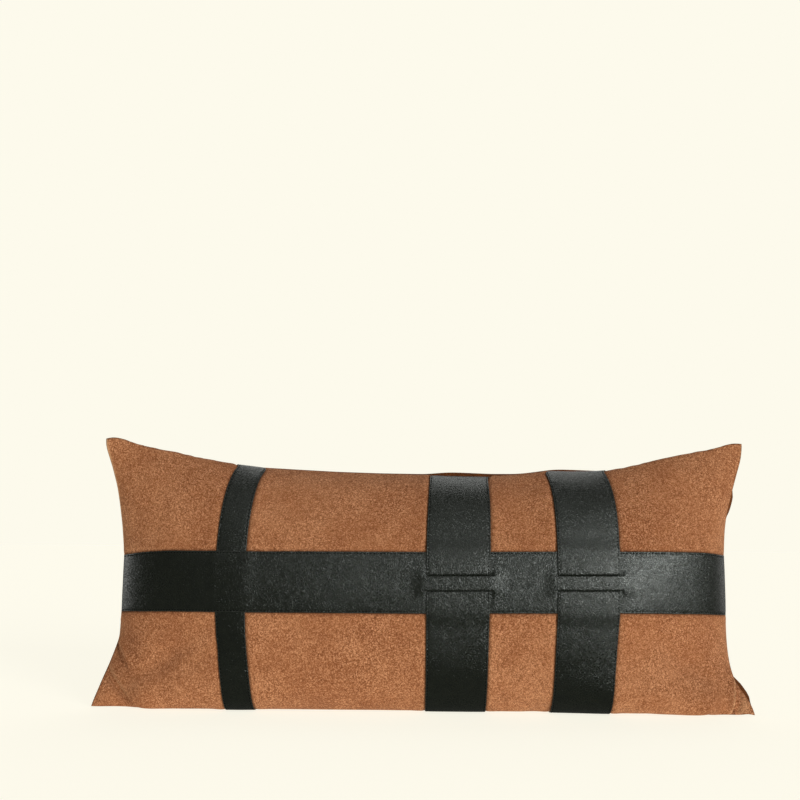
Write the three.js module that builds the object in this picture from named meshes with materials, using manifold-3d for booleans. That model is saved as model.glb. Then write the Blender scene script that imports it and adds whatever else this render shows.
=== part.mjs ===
// Lumbar throw pillow: a long stuffed cushion that stands on its lower long edge.
// Millimetres. X runs along the pillow's length, the strapped front face looks toward -Y, Z is up.
// The origin is the middle of the footprint on the surface the pillow stands on.
//
// The cover is two panels sewn round the edge. Its face carries one long horizontal strap and three
// upright straps. The narrow upright strap runs under the horizontal one. The two wide upright straps
// are woven through pairs of slits in it: over its upper part, under the band between the slits, and
// over its lower part. A zip in the lower seam lets the filled insert out.
import * as THREE from "three";
import { mergeVertices } from "three/addons/utils/BufferGeometryUtils.js";
import Module from "manifold-3d";

const wasm = await Module();
wasm.setup();

// ---------------------------------------------------------------- driving dimensions
const COVER_L = 700; // cut length of the cover, seam to seam, laid flat
const COVER_H = 300; // cut height of the cover, seam to seam, laid flat
const CORNER_Z = 280.5; // height of the upper corners when stuffed
const PANEL_T = 1.3; // panel thickness
const SEAM_Y = 1.6; // outer face of each panel at the seam, from the middle plane
const MIN_Y = 0.3; // no layer comes nearer the middle plane than this

const STRAP_T = 1.6; // strap thickness, two turned layers
const GAP = 0.3; // clearance between layers that touch
const RAISED = 2.9; // underside of a strap where it crosses another
const WIDE = 63.5; // width of the horizontal and the two wide upright straps
const NARROW = 31; // width of the narrow upright strap
const H_MID = 16; // height of the horizontal strap's centreline above the panel's centreline
const C_NARROW = -199; // centrelines of the upright straps along the length
const C_MID = 35;
const C_RIGHT = 168;
const BAND_TOP = 7.8; // band between the slits, about the horizontal strap's centreline
const BAND_BOTTOM = -5.9;
const SLIT = 3.2; // open height of each slit
const RAMP = 4.25; // length over which a strap climbs onto another
const THREAD_W = 0.7;
const THREAD_T = 0.35;
const STITCH_IN = 2.15; // topstitch line from the strap's edge

const ZIP_HALF = 258; // half length of the zip's coils
const SLIDER_X = -246; // slider, zip closed
const COIL_Y = 1.75; // coil centreline from the middle plane
const COIL_Z = 7.45;
const COIL_R = 0.88;

// Mid-length section of the cover's face, from the lower seam to the upper: distance in front of the
// middle plane, and height. It is flat where the pillow stands.
const SECTION = [
  [0, 7],
  [9, 0],
  [26, 0],
  [41, 8],
  [53, 28],
  [61, 62],
  [64, 100],
  [64, 128],
  [61, 155],
  [52, 188],
  [36, 216],
  [17, 235],
  [0, 243],
];
// The same section for the insert, which keeps clear of the cover and of the zip.
const INSERT_SECTION = [
  [0, 14],
  [10.5, 13.4],
  [17, 5.6],
  [25, 5.2],
  [37.5, 13],
  [49, 31],
  [56.5, 62],
  [59.5, 100],
  [59.5, 128],
  [56.5, 154],
  [48, 184],
  [32.5, 210],
  [15, 228],
  [0, 236],
];

// ---------------------------------------------------------------- the stuffed form
const clamp = (x, a, b) => Math.min(b, Math.max(a, x));
const smooth = (x) => {
  const t = clamp(x, 0, 1);
  return t * t * (3 - 2 * t);
};

// A section sampled by its arc length, -1 at the lower seam and +1 at the upper.
function sectionCurve(points, flatFrom, flatTo) {
  const s = [0];
  for (let i = 1; i < points.length; i++)
    s.push(s[i - 1] + Math.hypot(points[i][0] - points[i - 1][0], points[i][1] - points[i - 1][1]));
  const total = s[s.length - 1];
  const slope = points.map((p, i) => {
    if (i === 0 || i === points.length - 1) return null;
    const a = s[i + 1] - s[i - 1];
    return [(points[i + 1][0] - points[i - 1][0]) / a, (points[i + 1][1] - points[i - 1][1]) / a];
  });
  slope[0] = [(points[1][0] - points[0][0]) / s[1], (points[1][1] - points[0][1]) / s[1]];
  const n = points.length - 1;
  slope[n] = [
    (points[n][0] - points[n - 1][0]) / (s[n] - s[n - 1]),
    (points[n][1] - points[n - 1][1]) / (s[n] - s[n - 1]),
  ];
  const at = (q) => {
    const d = clamp(((q + 1) / 2) * total, 0, total);
    let i = 0;
    while (i < n - 1 && d > s[i + 1]) i++;
    const w = s[i + 1] - s[i];
    const t = (d - s[i]) / w;
    if (i < flatTo)
      return [0, 1].map((k) => points[i][k] + (points[i + 1][k] - points[i][k]) * t);
    const h00 = 2 * t ** 3 - 3 * t ** 2 + 1;
    const h10 = t ** 3 - 2 * t ** 2 + t;
    const h01 = -2 * t ** 3 + 3 * t ** 2;
    const h11 = t ** 3 - t ** 2;
    const m0 = i === flatTo ? [1, 0] : slope[i];
    return [0, 1].map(
      (k) => h00 * points[i][k] + h10 * w * m0[k] + h01 * points[i + 1][k] + h11 * w * slope[i + 1][k],
    );
  };
  at.breaks = s.map((d) => (d / total) * 2 - 1);
  return at;
}
const coverSection = sectionCurve(SECTION, 1, 2);
const insertSection = sectionCurve(INSERT_SECTION, 2, 3);
// Rows of the cut panel at the two edges of the flat foot
const FOOT_LOW = (coverSection.breaks[1] * COVER_H) / 2;
const FOOT_HIGH = (coverSection.breaks[2] * COVER_H) / 2;

// Fullness along the length: full in the middle, closing to nothing at the side seams.
const fullness = (p) => Math.pow(Math.max(0, 1 - Math.pow(Math.abs(p), 4.5)), 0.8);
// How far a row has turned from the mid-length section into the straight end seam. The lower rows
// stay flat on the ground almost to the corners.
const endBlend = (p, q) => {
  const upper = Math.pow(Math.max(0, (Math.abs(p) - 0.45) / 0.55), 1.7);
  const lower = Math.pow(Math.max(0, (Math.abs(p) - 0.8) / 0.2), 1.4);
  return lower + (upper - lower) * smooth((q + 0.95) / 1.25);
};
const zipOpen = (u) => clamp((306 - Math.abs(u)) / 16, 0, 1);

// Point of the front face for the cut panel's coordinates u (along) and v (up), before any offset.
function coverPoint(u, v) {
  const p = u / (COVER_L / 2);
  const q = v / (COVER_H / 2);
  const inner = 0.969 - 0.028 * q * q;
  const edge = q > 0 ? 0.909 + 0.068 * Math.pow(q, 2.8) : 0.909 + 0.077 * Math.pow(-q, 3.4);
  const x = u * (inner + (edge - inner) * Math.pow(Math.abs(p), 6));
  const [fy, fz] = coverSection(q);
  const w = endBlend(p, q);
  const low = 7 - 6 * smooth((Math.abs(p) - 0.83) / 0.17);
  const z = (1 - w) * fz + w * (low + ((CORNER_Z - low) * (q + 1)) / 2);
  const lip = 3.6 * zipOpen(u) * clamp((FOOT_LOW - v) / (FOOT_LOW + COVER_H / 2), 0, 1);
  return new THREE.Vector3(x, -(SEAM_Y + lip + fy * fullness(p)), z);
}
function insertPoint(u, v) {
  const p = u / (COVER_L / 2);
  const q = v / (COVER_H / 2);
  const inner = 0.945 - 0.028 * q * q;
  const edge = q > 0 ? 0.879 + 0.062 * Math.pow(q, 2.8) : 0.879 + 0.066 * Math.pow(-q, 3.4);
  const x = u * (inner + (edge - inner) * Math.pow(Math.abs(p), 6));
  const [fy, fz] = insertSection(q);
  const w = endBlend(p, q);
  const z = (1 - w) * fz + (w * (14 + 270 + (270 - 14) * q)) / 2;
  return new THREE.Vector3(x, -(1.2 + fy * fullness(p)), z);
}
// Outward normal of a face at (u, v), by differences kept inside the panel.
function normalOf(point, u, v) {
  const e = 1.5;
  const ua = clamp(u - e, -COVER_L / 2, COVER_L / 2);
  const ub = clamp(u + e, -COVER_L / 2, COVER_L / 2);
  const va = clamp(v - e, -COVER_H / 2, COVER_H / 2);
  const vb = clamp(v + e, -COVER_H / 2, COVER_H / 2);
  const du = point(ub, v).sub(point(ua, v));
  const dv = point(u, vb).sub(point(u, va));
  return du.cross(dv).normalize();
}

// ---------------------------------------------------------------- layers on the form
// A layer is a closed sheet between two offsets from the face, over the cells that keep() leaves.
function layer(point, us, vs, low, high, { back = false, keep = () => true } = {}) {
  const nu = us.length;
  const nv = vs.length;
  const positions = [];
  const index = [];
  const place = (offset) => {
    const base = positions.length / 3;
    for (let j = 0; j < nv; j++)
      for (let i = 0; i < nu; i++) {
        const a = point(us[i], vs[j]).addScaledVector(
          normalOf(point, us[i], vs[j]),
          offset(us[i], vs[j]),
        );
        if (a.y > -MIN_Y) a.y = -MIN_Y;
        positions.push(a.x, back ? -a.y : a.y, a.z);
      }
    return (i, j) => base + j * nu + i;
  };
  const outer = place(high);
  const inner = place(low);
  const tri = (a, b, c) => (back ? index.push(a, c, b) : index.push(a, b, c));
  const quad = (a, b, c, d) => {
    tri(a, b, c);
    tri(a, c, d);
  };
  const kept = (i, j) =>
    i >= 0 && j >= 0 && i < nu - 1 && j < nv - 1 && keep(us[i], us[i + 1], vs[j], vs[j + 1]);
  for (let j = 0; j < nv - 1; j++)
    for (let i = 0; i < nu - 1; i++) {
      if (!kept(i, j)) continue;
      quad(outer(i, j), outer(i + 1, j), outer(i + 1, j + 1), outer(i, j + 1));
      const [a, b, c, d] = [inner(i, j), inner(i + 1, j), inner(i + 1, j + 1), inner(i, j + 1)];
      tri(a, c, b);
      tri(a, d, c);
      if (!kept(i, j - 1)) quad(outer(i + 1, j), outer(i, j), inner(i, j), inner(i + 1, j));
      if (!kept(i, j + 1))
        quad(outer(i, j + 1), outer(i + 1, j + 1), inner(i + 1, j + 1), inner(i, j + 1));
      if (!kept(i - 1, j)) quad(outer(i, j), outer(i, j + 1), inner(i, j + 1), inner(i, j));
      if (!kept(i + 1, j))
        quad(outer(i + 1, j + 1), outer(i + 1, j), inner(i + 1, j), inner(i + 1, j + 1));
    }
  const used = new Map();
  const compact = [];
  const remap = index.map((k) => {
    if (!used.has(k)) {
      used.set(k, compact.length / 3);
      compact.push(positions[3 * k], positions[3 * k + 1], positions[3 * k + 2]);
    }
    return used.get(k);
  });
  const geometry = new THREE.BufferGeometry();
  geometry.setAttribute("position", new THREE.Float32BufferAttribute(compact, 3));
  geometry.setIndex(remap);
  geometry.computeVertexNormals();
  return geometry;
}

// A closed solid between the front face and its mirror image, pulled in by an offset.
function lens(point, us, vs, offset) {
  const nu = us.length;
  const nv = vs.length;
  const positions = [];
  const index = [];
  const grid = (sign) => {
    const base = positions.length / 3;
    for (let j = 0; j < nv; j++)
      for (let i = 0; i < nu; i++) {
        const a = point(us[i], vs[j]).addScaledVector(normalOf(point, us[i], vs[j]), offset);
        if (a.y > -0.6) a.y = -0.6;
        positions.push(a.x, sign * a.y, a.z);
      }
    return (i, j) => base + j * nu + i;
  };
  const f = grid(1);
  const b = grid(-1);
  const quad = (p, q, r, s) => index.push(p, q, r, p, r, s);
  for (let j = 0; j < nv - 1; j++)
    for (let i = 0; i < nu - 1; i++) {
      quad(f(i, j), f(i + 1, j), f(i + 1, j + 1), f(i, j + 1));
      quad(b(i, j), b(i, j + 1), b(i + 1, j + 1), b(i + 1, j));
    }
  for (let i = 0; i < nu - 1; i++) {
    quad(f(i + 1, 0), f(i, 0), b(i, 0), b(i + 1, 0));
    quad(f(i, nv - 1), f(i + 1, nv - 1), b(i + 1, nv - 1), b(i, nv - 1));
  }
  for (let j = 0; j < nv - 1; j++) {
    quad(f(0, j), f(0, j + 1), b(0, j + 1), b(0, j));
    quad(f(nu - 1, j + 1), f(nu - 1, j), b(nu - 1, j), b(nu - 1, j + 1));
  }
  const geometry = new THREE.BufferGeometry();
  geometry.setAttribute("position", new THREE.Float32BufferAttribute(positions, 3));
  geometry.setIndex(index);
  geometry.computeVertexNormals();
  return geometry;
}

const sorted = (list) =>
  [...list].sort((a, b) => a - b).filter((x, i, all) => i === 0 || x - all[i - 1] > 1e-6);

const HALF_W = WIDE / 2;
const HALF_N = NARROW / 2;
const STRAPS = [
  { c: C_NARROW, half: HALF_N, woven: false },
  { c: C_MID, half: HALF_W, woven: true },
  { c: C_RIGHT, half: HALF_W, woven: true },
];

// Straps press into the cover where the pillow stands, so that cover and straps share one flat foot.
const pressed = (v) => smooth((-100 - v) / 15);
const underStrap = (u) =>
  Math.max(...STRAPS.map((s) => clamp((s.half + 3.3 - Math.abs(u - s.c)) / 3, 0, 1)));
const panelOffset = (u, v) => -(STRAP_T + GAP) * pressed(v) * underStrap(u);
const sink = (v) => (STRAP_T + GAP) * pressed(v);

const U_PLAIN = [-350, -344, -332, -314, -290, -274, -250, -236, -150, -115, -72, -35, 222, 248, 274, 290, 314, 332, 344, 350, 100.75];
const U_STRAPS = STRAPS.flatMap((s) =>
  s.woven
    ? [s.c - s.half - 3.3, s.c - s.half, s.c - 10.6, s.c + 10.6, s.c + s.half, s.c + s.half + 3.3]
    : [s.c - s.half - 3.3, s.c - s.half, s.c, s.c + s.half, s.c + s.half + 3.3],
);
const U_PANEL = sorted([...U_PLAIN, ...U_STRAPS]);
const V_LOWER = [-150, -146, FOOT_LOW, -129, FOOT_HIGH, -114, -107, -100, -88, -70, -48];
const V_UPPER = [66, 84, 104, 122, 136, 144, 150];
const V_PANEL = sorted([...V_LOWER, H_MID - 36, 6, 28, H_MID + 36, ...V_UPPER]);

// Offsets of the horizontal strap: climbs over the narrow upright strap, and its bands climb over the
// wide ones.
const climb = (d, half) => clamp((half + RAMP - Math.abs(d)) / (RAMP - 0.6), 0, 1);
function horizontalBase(u, v) {
  const d = v - H_MID;
  let up = climb(u - C_NARROW, HALF_N);
  if (d > BAND_BOTTOM - 0.01 && d < BAND_TOP + 0.01)
    up = Math.max(up, climb(u - C_MID, HALF_W), climb(u - C_RIGHT, HALF_W));
  return GAP + (RAISED - GAP) * up;
}
// Offsets of a wide upright strap: over the horizontal strap's upper and lower parts, under its band.
function wovenBase(v) {
  const d = v - H_MID;
  const over =
    d > 1
      ? Math.min(clamp((d - BAND_TOP) / SLIT, 0, 1), clamp((HALF_W + RAMP - d) / RAMP, 0, 1))
      : Math.min(
          clamp((BAND_BOTTOM - d) / SLIT, 0, 1),
          clamp((d + HALF_W + RAMP) / RAMP, 0, 1),
        );
  return GAP + (RAISED - GAP) * over - sink(v);
}
const plainBase = (v) => GAP - sink(v);

const H_ROWS = [HALF_W, 21.3, BAND_TOP + SLIT, BAND_TOP, 1, BAND_BOTTOM, BAND_BOTTOM - SLIT, -20.4, -HALF_W];
const U_HORIZONTAL = sorted([
  ...U_PANEL.filter((u) => Math.abs(u) < 345),
  -347.5,
  347.5,
  ...STRAPS.flatMap((s) => [s.c - s.half - RAMP, s.c - s.half - 0.6, s.c + s.half + 0.6, s.c + s.half + RAMP]),
]);
const V_HORIZONTAL = sorted(H_ROWS.map((d) => H_MID + d));
const V_UPRIGHT = sorted([
  -147.5,
  ...V_LOWER.filter((v) => v > -146),
  ...H_ROWS.map((d) => H_MID + d),
  H_MID - HALF_W - RAMP,
  H_MID + HALF_W + RAMP,
  ...V_UPPER.filter((v) => v < 145),
  148,
]);
const V_NARROW = sorted([
  -147.5,
  ...V_LOWER.filter((v) => v > -146),
  H_MID - 36,
  H_MID - 12,
  H_MID + 12,
  H_MID + 36,
  ...V_UPPER.filter((v) => v < 145),
  148,
]);

const inSlit = (u0, u1, v0, v1) => {
  const d = (v0 + v1) / 2 - H_MID;
  const row =
    (d > BAND_TOP && d < BAND_TOP + SLIT) || (d < BAND_BOTTOM && d > BAND_BOTTOM - SLIT);
  const mid = (u0 + u1) / 2;
  return row && STRAPS.some((s) => s.woven && Math.abs(mid - s.c) < s.half + RAMP);
};

// ---------------------------------------------------------------- materials
const suede = [0.69, 0.455, 0.32];
const finish = {
  suede: { color: suede, roughness: 0.9, metalness: 0 },
  backing: { color: [0.2, 0.11, 0.07], roughness: 0.95, metalness: 0 },
  strap: { color: [0.13, 0.145, 0.14], roughness: 0.45, metalness: 0 },
  thread: { color: [0.16, 0.13, 0.11], roughness: 0.7, metalness: 0 },
  tape: { color: [0.16, 0.1, 0.07], roughness: 0.9, metalness: 0 },
  coil: { color: [0.14, 0.09, 0.07], roughness: 0.4, metalness: 0 },
  metal: { color: [0.45, 0.38, 0.3], roughness: 0.35, metalness: 1 },
  casing: { color: [0.9, 0.89, 0.86], roughness: 0.9, metalness: 0 },
  fill: { color: [0.95, 0.95, 0.93], roughness: 1, metalness: 0 },
  label: { color: [0.93, 0.92, 0.88], roughness: 0.8, metalness: 0 },
};
const pillow = new THREE.Group();
function add(name, geometry, look, x = 0, y = 0, z = 0) {
  const f = finish[look];
  const material = new THREE.MeshStandardMaterial({
    color: new THREE.Color(...f.color),
    roughness: f.roughness,
    metalness: f.metalness,
  });
  const mesh = new THREE.Mesh(geometry, material);
  mesh.name = name;
  mesh.position.set(x, y, z);
  pillow.add(mesh);
  return mesh;
}

// ---------------------------------------------------------------- cover and straps
add(
  "front_panel",
  layer(coverPoint, U_PANEL, V_PANEL, (u, v) => panelOffset(u, v) - PANEL_T, panelOffset),
  "suede",
);
const U_BACK = [-350, -344, -332, -314, -290, -274, -232, -202, -160, -100, -35, 35, 100, 160, 222, 274, 290, 314, 332, 344, 350];
const V_BACK = sorted([...V_LOWER, -20, 14, 48, ...V_UPPER]);
add(
  "back_panel",
  layer(coverPoint, U_BACK, V_BACK, () => -PANEL_T, () => 0, { back: true }),
  "backing",
);
add(
  "horizontal_strap",
  layer(
    coverPoint,
    U_HORIZONTAL,
    V_HORIZONTAL,
    horizontalBase,
    (u, v) => horizontalBase(u, v) + STRAP_T,
    { keep: (...cell) => !inSlit(...cell) },
  ),
  "strap",
);
for (const [name, c] of [
  ["centre_wide_strap", C_MID],
  ["right_wide_strap", C_RIGHT],
])
  add(
    name,
    layer(
      coverPoint,
      [c - HALF_W, c - 10.6, c + 10.6, c + HALF_W],
      V_UPRIGHT,
      (u, v) => wovenBase(v),
      (u, v) => wovenBase(v) + STRAP_T,
    ),
    "strap",
  );
add(
  "left_narrow_strap",
  layer(
    coverPoint,
    [C_NARROW - HALF_N, C_NARROW, C_NARROW + HALF_N],
    V_NARROW,
    (u, v) => plainBase(v),
    (u, v) => plainBase(v) + STRAP_T,
  ),
  "strap",
);

// ---------------------------------------------------------------- topstitching
const above = STRAP_T + GAP;
for (const [name, side] of [
  ["stitch_horizontal_top", 1],
  ["stitch_horizontal_bottom", -1],
]) {
  const v = H_MID + side * (HALF_W - STITCH_IN);
  add(
    name,
    layer(
      coverPoint,
      U_HORIZONTAL,
      [v - THREAD_W / 2, v + THREAD_W / 2],
      (u) => horizontalBase(u, v) + above,
      (u) => horizontalBase(u, v) + above + THREAD_T,
    ),
    "thread",
  );
}
for (const [name, s, base, rows] of [
  ["stitch_narrow", STRAPS[0], plainBase, V_NARROW],
  ["stitch_centre", STRAPS[1], wovenBase, V_UPRIGHT],
  ["stitch_right", STRAPS[2], wovenBase, V_UPRIGHT],
])
  for (const [end, side] of [
    ["left", -1],
    ["right", 1],
  ]) {
    const u = s.c + side * (s.half - STITCH_IN);
    add(
      `${name}_${end}`,
      layer(
        coverPoint,
        [u - THREAD_W / 2, u + THREAD_W / 2],
        rows.filter((v) => v > -104),
        (_, v) => base(v) + above,
        (_, v) => base(v) + above + THREAD_T,
      ),
      "thread",
    );
  }

// ---------------------------------------------------------------- insert
const U_INSERT = [-350, -343, -325, -298, -262, -200, -120, -40, 40, 120, 200, 262, 298, 325, 343, 350];
const vInsert = insertSection.breaks.map((q) => (q * COVER_H) / 2);
add("insert_casing_front", layer(insertPoint, U_INSERT, vInsert, () => -0.8, () => 0), "casing");
add(
  "insert_casing_back",
  layer(insertPoint, U_INSERT, vInsert, () => -0.8, () => 0, { back: true }),
  "casing",
);
add("insert_fill", lens(insertPoint, [-340, -325, -298, -262, -200, -120, -40, 40, 120, 200, 262, 298, 325, 340], vInsert.slice(1, -1), -2.3), "fill");

// ---------------------------------------------------------------- zip in the lower seam
const solid = (geometry) => {
  const g = geometry.clone();
  for (const key of Object.keys(g.attributes)) if (key !== "position") g.deleteAttribute(key);
  const m = mergeVertices(g, 1e-4);
  return new wasm.Manifold(
    new wasm.Mesh({
      numProp: 3,
      vertProperties: new Float32Array(m.attributes.position.array),
      triVerts: new Uint32Array(m.index.array),
    }),
  );
};
const back = (manifold) => {
  const m = manifold.getMesh();
  const g = new THREE.BufferGeometry();
  g.setAttribute("position", new THREE.BufferAttribute(new Float32Array(m.vertProperties), 3));
  g.setIndex(new THREE.BufferAttribute(new Uint32Array(m.triVerts), 1));
  g.computeVertexNormals();
  return g;
};
const boxAt = (x0, x1, y0, y1, z0, z1) =>
  new THREE.BoxGeometry(x1 - x0, y1 - y0, z1 - z0).translate(
    (x0 + x1) / 2,
    (y0 + y1) / 2,
    (z0 + z1) / 2,
  );
// Outline in X and Y, extruded up from z0 to z1
function plate(points, z0, z1, holes = []) {
  const shape = new THREE.Shape(points.map(([x, y]) => new THREE.Vector2(x, y)));
  for (const hole of holes)
    shape.holes.push(new THREE.Path(hole.map(([x, y]) => new THREE.Vector2(x, y))));
  return new THREE.ExtrudeGeometry(shape, { depth: z1 - z0, bevelEnabled: false }).translate(0, 0, z0);
}

for (const [name, side] of [
  ["zip_tape_front", -1],
  ["zip_tape_back", 1],
])
  add(name, boxAt(-ZIP_HALF - 8, ZIP_HALF + 8, side > 0 ? 1 : -6.7, side > 0 ? 6.7 : -1, 9.0, 9.5), "tape");
for (const [name, side] of [
  ["zip_coil_front", -1],
  ["zip_coil_back", 1],
])
  add(
    name,
    new THREE.CylinderGeometry(COIL_R, COIL_R, 2 * ZIP_HALF, 8).rotateZ(Math.PI / 2),
    "coil",
    0,
    side * COIL_Y,
    COIL_Z,
  );
for (const [name, side] of [
  ["zip_top_stop", -1],
  ["zip_bottom_stop", 1],
])
  add(
    name,
    plate(
      [
        [-1.5, -2.2],
        [-1.1, -2.7],
        [1.1, -2.7],
        [1.5, -2.2],
        [1.5, 2.2],
        [1.1, 2.7],
        [-1.1, 2.7],
        [-1.5, 2.2],
      ],
      6.4,
      8.3,
    ),
    "metal",
    side * (ZIP_HALF + 2),
    0,
    0,
  );

// Slider: an outer and an inner plate joined by a thin post that runs between the two coils, side
// flanges, and a bridge under the outer plate that holds the pull tab.
const outline = [
  [-5, -2.6],
  [-4.2, -3.4],
  [1.5, -3.8],
  [4.2, -3.2],
  [5, -2.2],
  [5, 2.2],
  [4.2, 3.2],
  [1.5, 3.8],
  [-4.2, 3.4],
  [-5, 2.6],
];
const slider = solid(plate(outline, 5.0, 6.2))
  .add(solid(plate(outline, 9.9, 10.8)))
  .add(solid(boxAt(2.2, 4.6, -0.42, 0.42, 6.0, 10.1)))
  .add(
    solid(plate([[-4.2, 2.95], [1.5, 2.95], [1.5, 3.75], [-4.2, 3.38]], 6.0, 8.2)),
  )
  .add(
    solid(plate([[-4.2, -3.38], [1.5, -3.75], [1.5, -2.95], [-4.2, -2.95]], 6.0, 8.2)),
  )
  .add(solid(boxAt(-2.9, -2.0, -0.8, 0.8, 3.2, 5.2)))
  .add(solid(boxAt(2.0, 2.9, -0.8, 0.8, 3.2, 5.2)))
  .add(solid(boxAt(-2.9, 2.9, -0.8, 0.8, 2.7, 3.5)));
add("zip_slider", back(slider), "metal", SLIDER_X, 0, 0);

// Pull tab: a cross bar through the bridge, two arms past its sides, and a rounded leaf.
const leaf = [
  [-5.0, -3.0],
  [-19.5, -3.4],
  [-21.6, -2.6],
  [-22.6, -1.0],
  [-22.6, 1.0],
  [-21.6, 2.6],
  [-19.5, 3.4],
  [-5.0, 3.0],
  [-3.9, 2.5],
  [0.4, 2.3],
  [0.4, -2.3],
  [-3.9, -2.5],
];
const window_ = [
  [-0.4, -1.25],
  [-0.4, 1.25],
  [-3.8, 1.25],
  [-3.8, -1.25],
];
const slot = [];
for (let k = 0; k < 10; k++) {
  const a = (k / 10) * 2 * Math.PI;
  slot.push([-18.6 + 1.5 * Math.cos(a), 1.5 * Math.sin(a)]);
}
add("zip_pull_tab", plate(leaf, 3.95, 4.7, [window_, slot]), "metal", SLIDER_X, 0, 0);

// ---------------------------------------------------------------- care label inside the cover
add(
  "care_label",
  layer(coverPoint, [-232, -217, -202], [-114, -107, -100, -88, -70], () => -2.75, () => -2.35, { back: true }),
  "label",
);

export default pillow;
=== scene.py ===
import bpy
import math
import numpy as np
from mathutils import Matrix, Vector


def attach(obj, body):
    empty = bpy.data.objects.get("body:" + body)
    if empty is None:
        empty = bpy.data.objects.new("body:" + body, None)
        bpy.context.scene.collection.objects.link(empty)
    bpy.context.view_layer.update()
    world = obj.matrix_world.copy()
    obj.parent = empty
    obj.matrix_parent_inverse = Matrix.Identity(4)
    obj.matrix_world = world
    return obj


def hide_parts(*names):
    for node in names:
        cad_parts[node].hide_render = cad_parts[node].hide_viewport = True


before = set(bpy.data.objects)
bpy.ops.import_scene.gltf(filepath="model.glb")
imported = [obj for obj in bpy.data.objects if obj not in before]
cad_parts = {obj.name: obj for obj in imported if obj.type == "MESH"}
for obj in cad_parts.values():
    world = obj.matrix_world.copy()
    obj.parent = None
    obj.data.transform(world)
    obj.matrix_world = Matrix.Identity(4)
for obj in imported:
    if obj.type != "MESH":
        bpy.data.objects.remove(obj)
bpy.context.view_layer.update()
scene = bpy.context.scene
MM = 0.001

# ---------------------------------------------------------------- camera
CAM_POS = Vector((-0.027, -1.100, 0.172))
CAM_PITCH = math.radians(7.883)  # looks up
CAM_ROLL = math.radians(0.57)
CAM_LENS = 46.0
cam_data = bpy.data.cameras.new("camera")
cam_data.lens = CAM_LENS
cam_data.sensor_width = 36.0
cam_data.clip_start = 0.02
cam = bpy.data.objects.new("camera", cam_data)
scene.collection.objects.link(cam)
fwd = Vector((0, math.cos(CAM_PITCH), math.sin(CAM_PITCH)))
up0 = Vector((0, -math.sin(CAM_PITCH), math.cos(CAM_PITCH)))
rt0 = Vector((1, 0, 0))
rt = rt0 * math.cos(CAM_ROLL) + up0 * math.sin(CAM_ROLL)
up = up0 * math.cos(CAM_ROLL) - rt0 * math.sin(CAM_ROLL)
m = Matrix((rt, up, -fwd)).transposed().to_4x4()
m.translation = CAM_POS
cam.matrix_world = m
scene.camera = cam

# ---------------------------------------------------------------- the cut pattern, in millimetres
L, H = 700.0, 300.0  # flat cover, seam to seam
STRAP_W = 63.0
NARROW_W = 30.5
HALF_W = STRAP_W / 2
HALF_N = NARROW_W / 2
C_NARROW, C_MID, C_RIGHT = -200.5, 34.8, 168.0

# Seam outline of the stuffed cover: x, z
TOP = [(-342.5, 278.5), (-337, 281.0), (-325, 278.8), (-302, 269.7), (-288, 265.6), (-266, 261.2), (-254, 257.6),
       (-236, 256.0), (-222, 253.9), (-206, 251.2), (-172, 249.0), (-130, 246.8), (-91, 244.9), (-45, 243.6),
       (-5, 243.0), (33, 242.3), (70, 242.0), (103, 245.0), (135, 248.9), (165, 248.4), (194, 248.4), (212, 250.6),
       (238, 254.6), (254, 258.6), (276, 263.9), (290, 267.0), (314, 274.6), (333, 281.2), (343, 280.0)]
RIGHT = [(335.6, 1.2), (334.7, 7.5), (332.6, 12.8), (327.7, 21.6), (322.4, 30.8), (319.7, 45.2), (318.5, 63.0),
         (318.2, 79.3), (318.4, 99.0), (318.5, 124.5), (318.5, 160.0), (320.5, 187.6), (323.6, 206.7), (330.5, 230.3), (335.6, 246.5),
         (341.0, 262.7), (342.8, 273.5), (343, 280.0)]
LEFT = [(-341.6, 1.0), (-340.6, 6.0), (-337.2, 14.8), (-333.0, 27.8), (-328.0, 41.7), (-323.0, 56.8), (-318.9, 70.0),
        (-318.6, 82.0), (-318.3, 95.4),
        (-318.0, 123.5), (-318.0, 154.9), (-321.5, 186.6), (-324.9, 207.8), (-328.5, 227.0), (-335.3, 250.6),
        (-340.8, 266.0), (-342.8, 273.5), (-342.5, 278.5)]

NU, NV = 116, 50


def curve(points, n):
    """n + 1 points at equal steps along a smooth line through the points."""
    p = np.array(points, float)
    s = np.r_[0, np.cumsum(np.linalg.norm(np.diff(p, axis=0), axis=1))]
    fine = np.linspace(0, s[-1], 801)
    q = np.stack([np.interp(fine, s, p[:, k]) for k in range(2)], 1)
    for _ in range(60):
        q[1:-1] = (q[:-2] + 2 * q[1:-1] + q[2:]) / 4
    s = np.r_[0, np.cumsum(np.linalg.norm(np.diff(q, axis=0), axis=1))]
    t = np.linspace(0, s[-1], n + 1)
    return np.stack([np.interp(t, s, q[:, k]) for k in range(2)], 1)


def smooth(x):
    t = np.clip(x, 0, 1)
    return t * t * (3 - 2 * t)


def lower_seam(x):
    """Height of the lower seam: over the zip it is lifted clear of the ground, and it comes down at the ends."""
    return 7.0 - 6.3 * smooth((np.abs(x) - 258) / 58) + 2.6 * smooth((x - 318) / 17)


SECTION = np.array([(0, 7), (9, 0.8), (26, 0.5), (41, 8), (53, 28), (61, 62), (64, 100), (64, 128), (61, 155),
                    (52, 188), (36, 216), (17, 235), (0, 243)], float)


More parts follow.
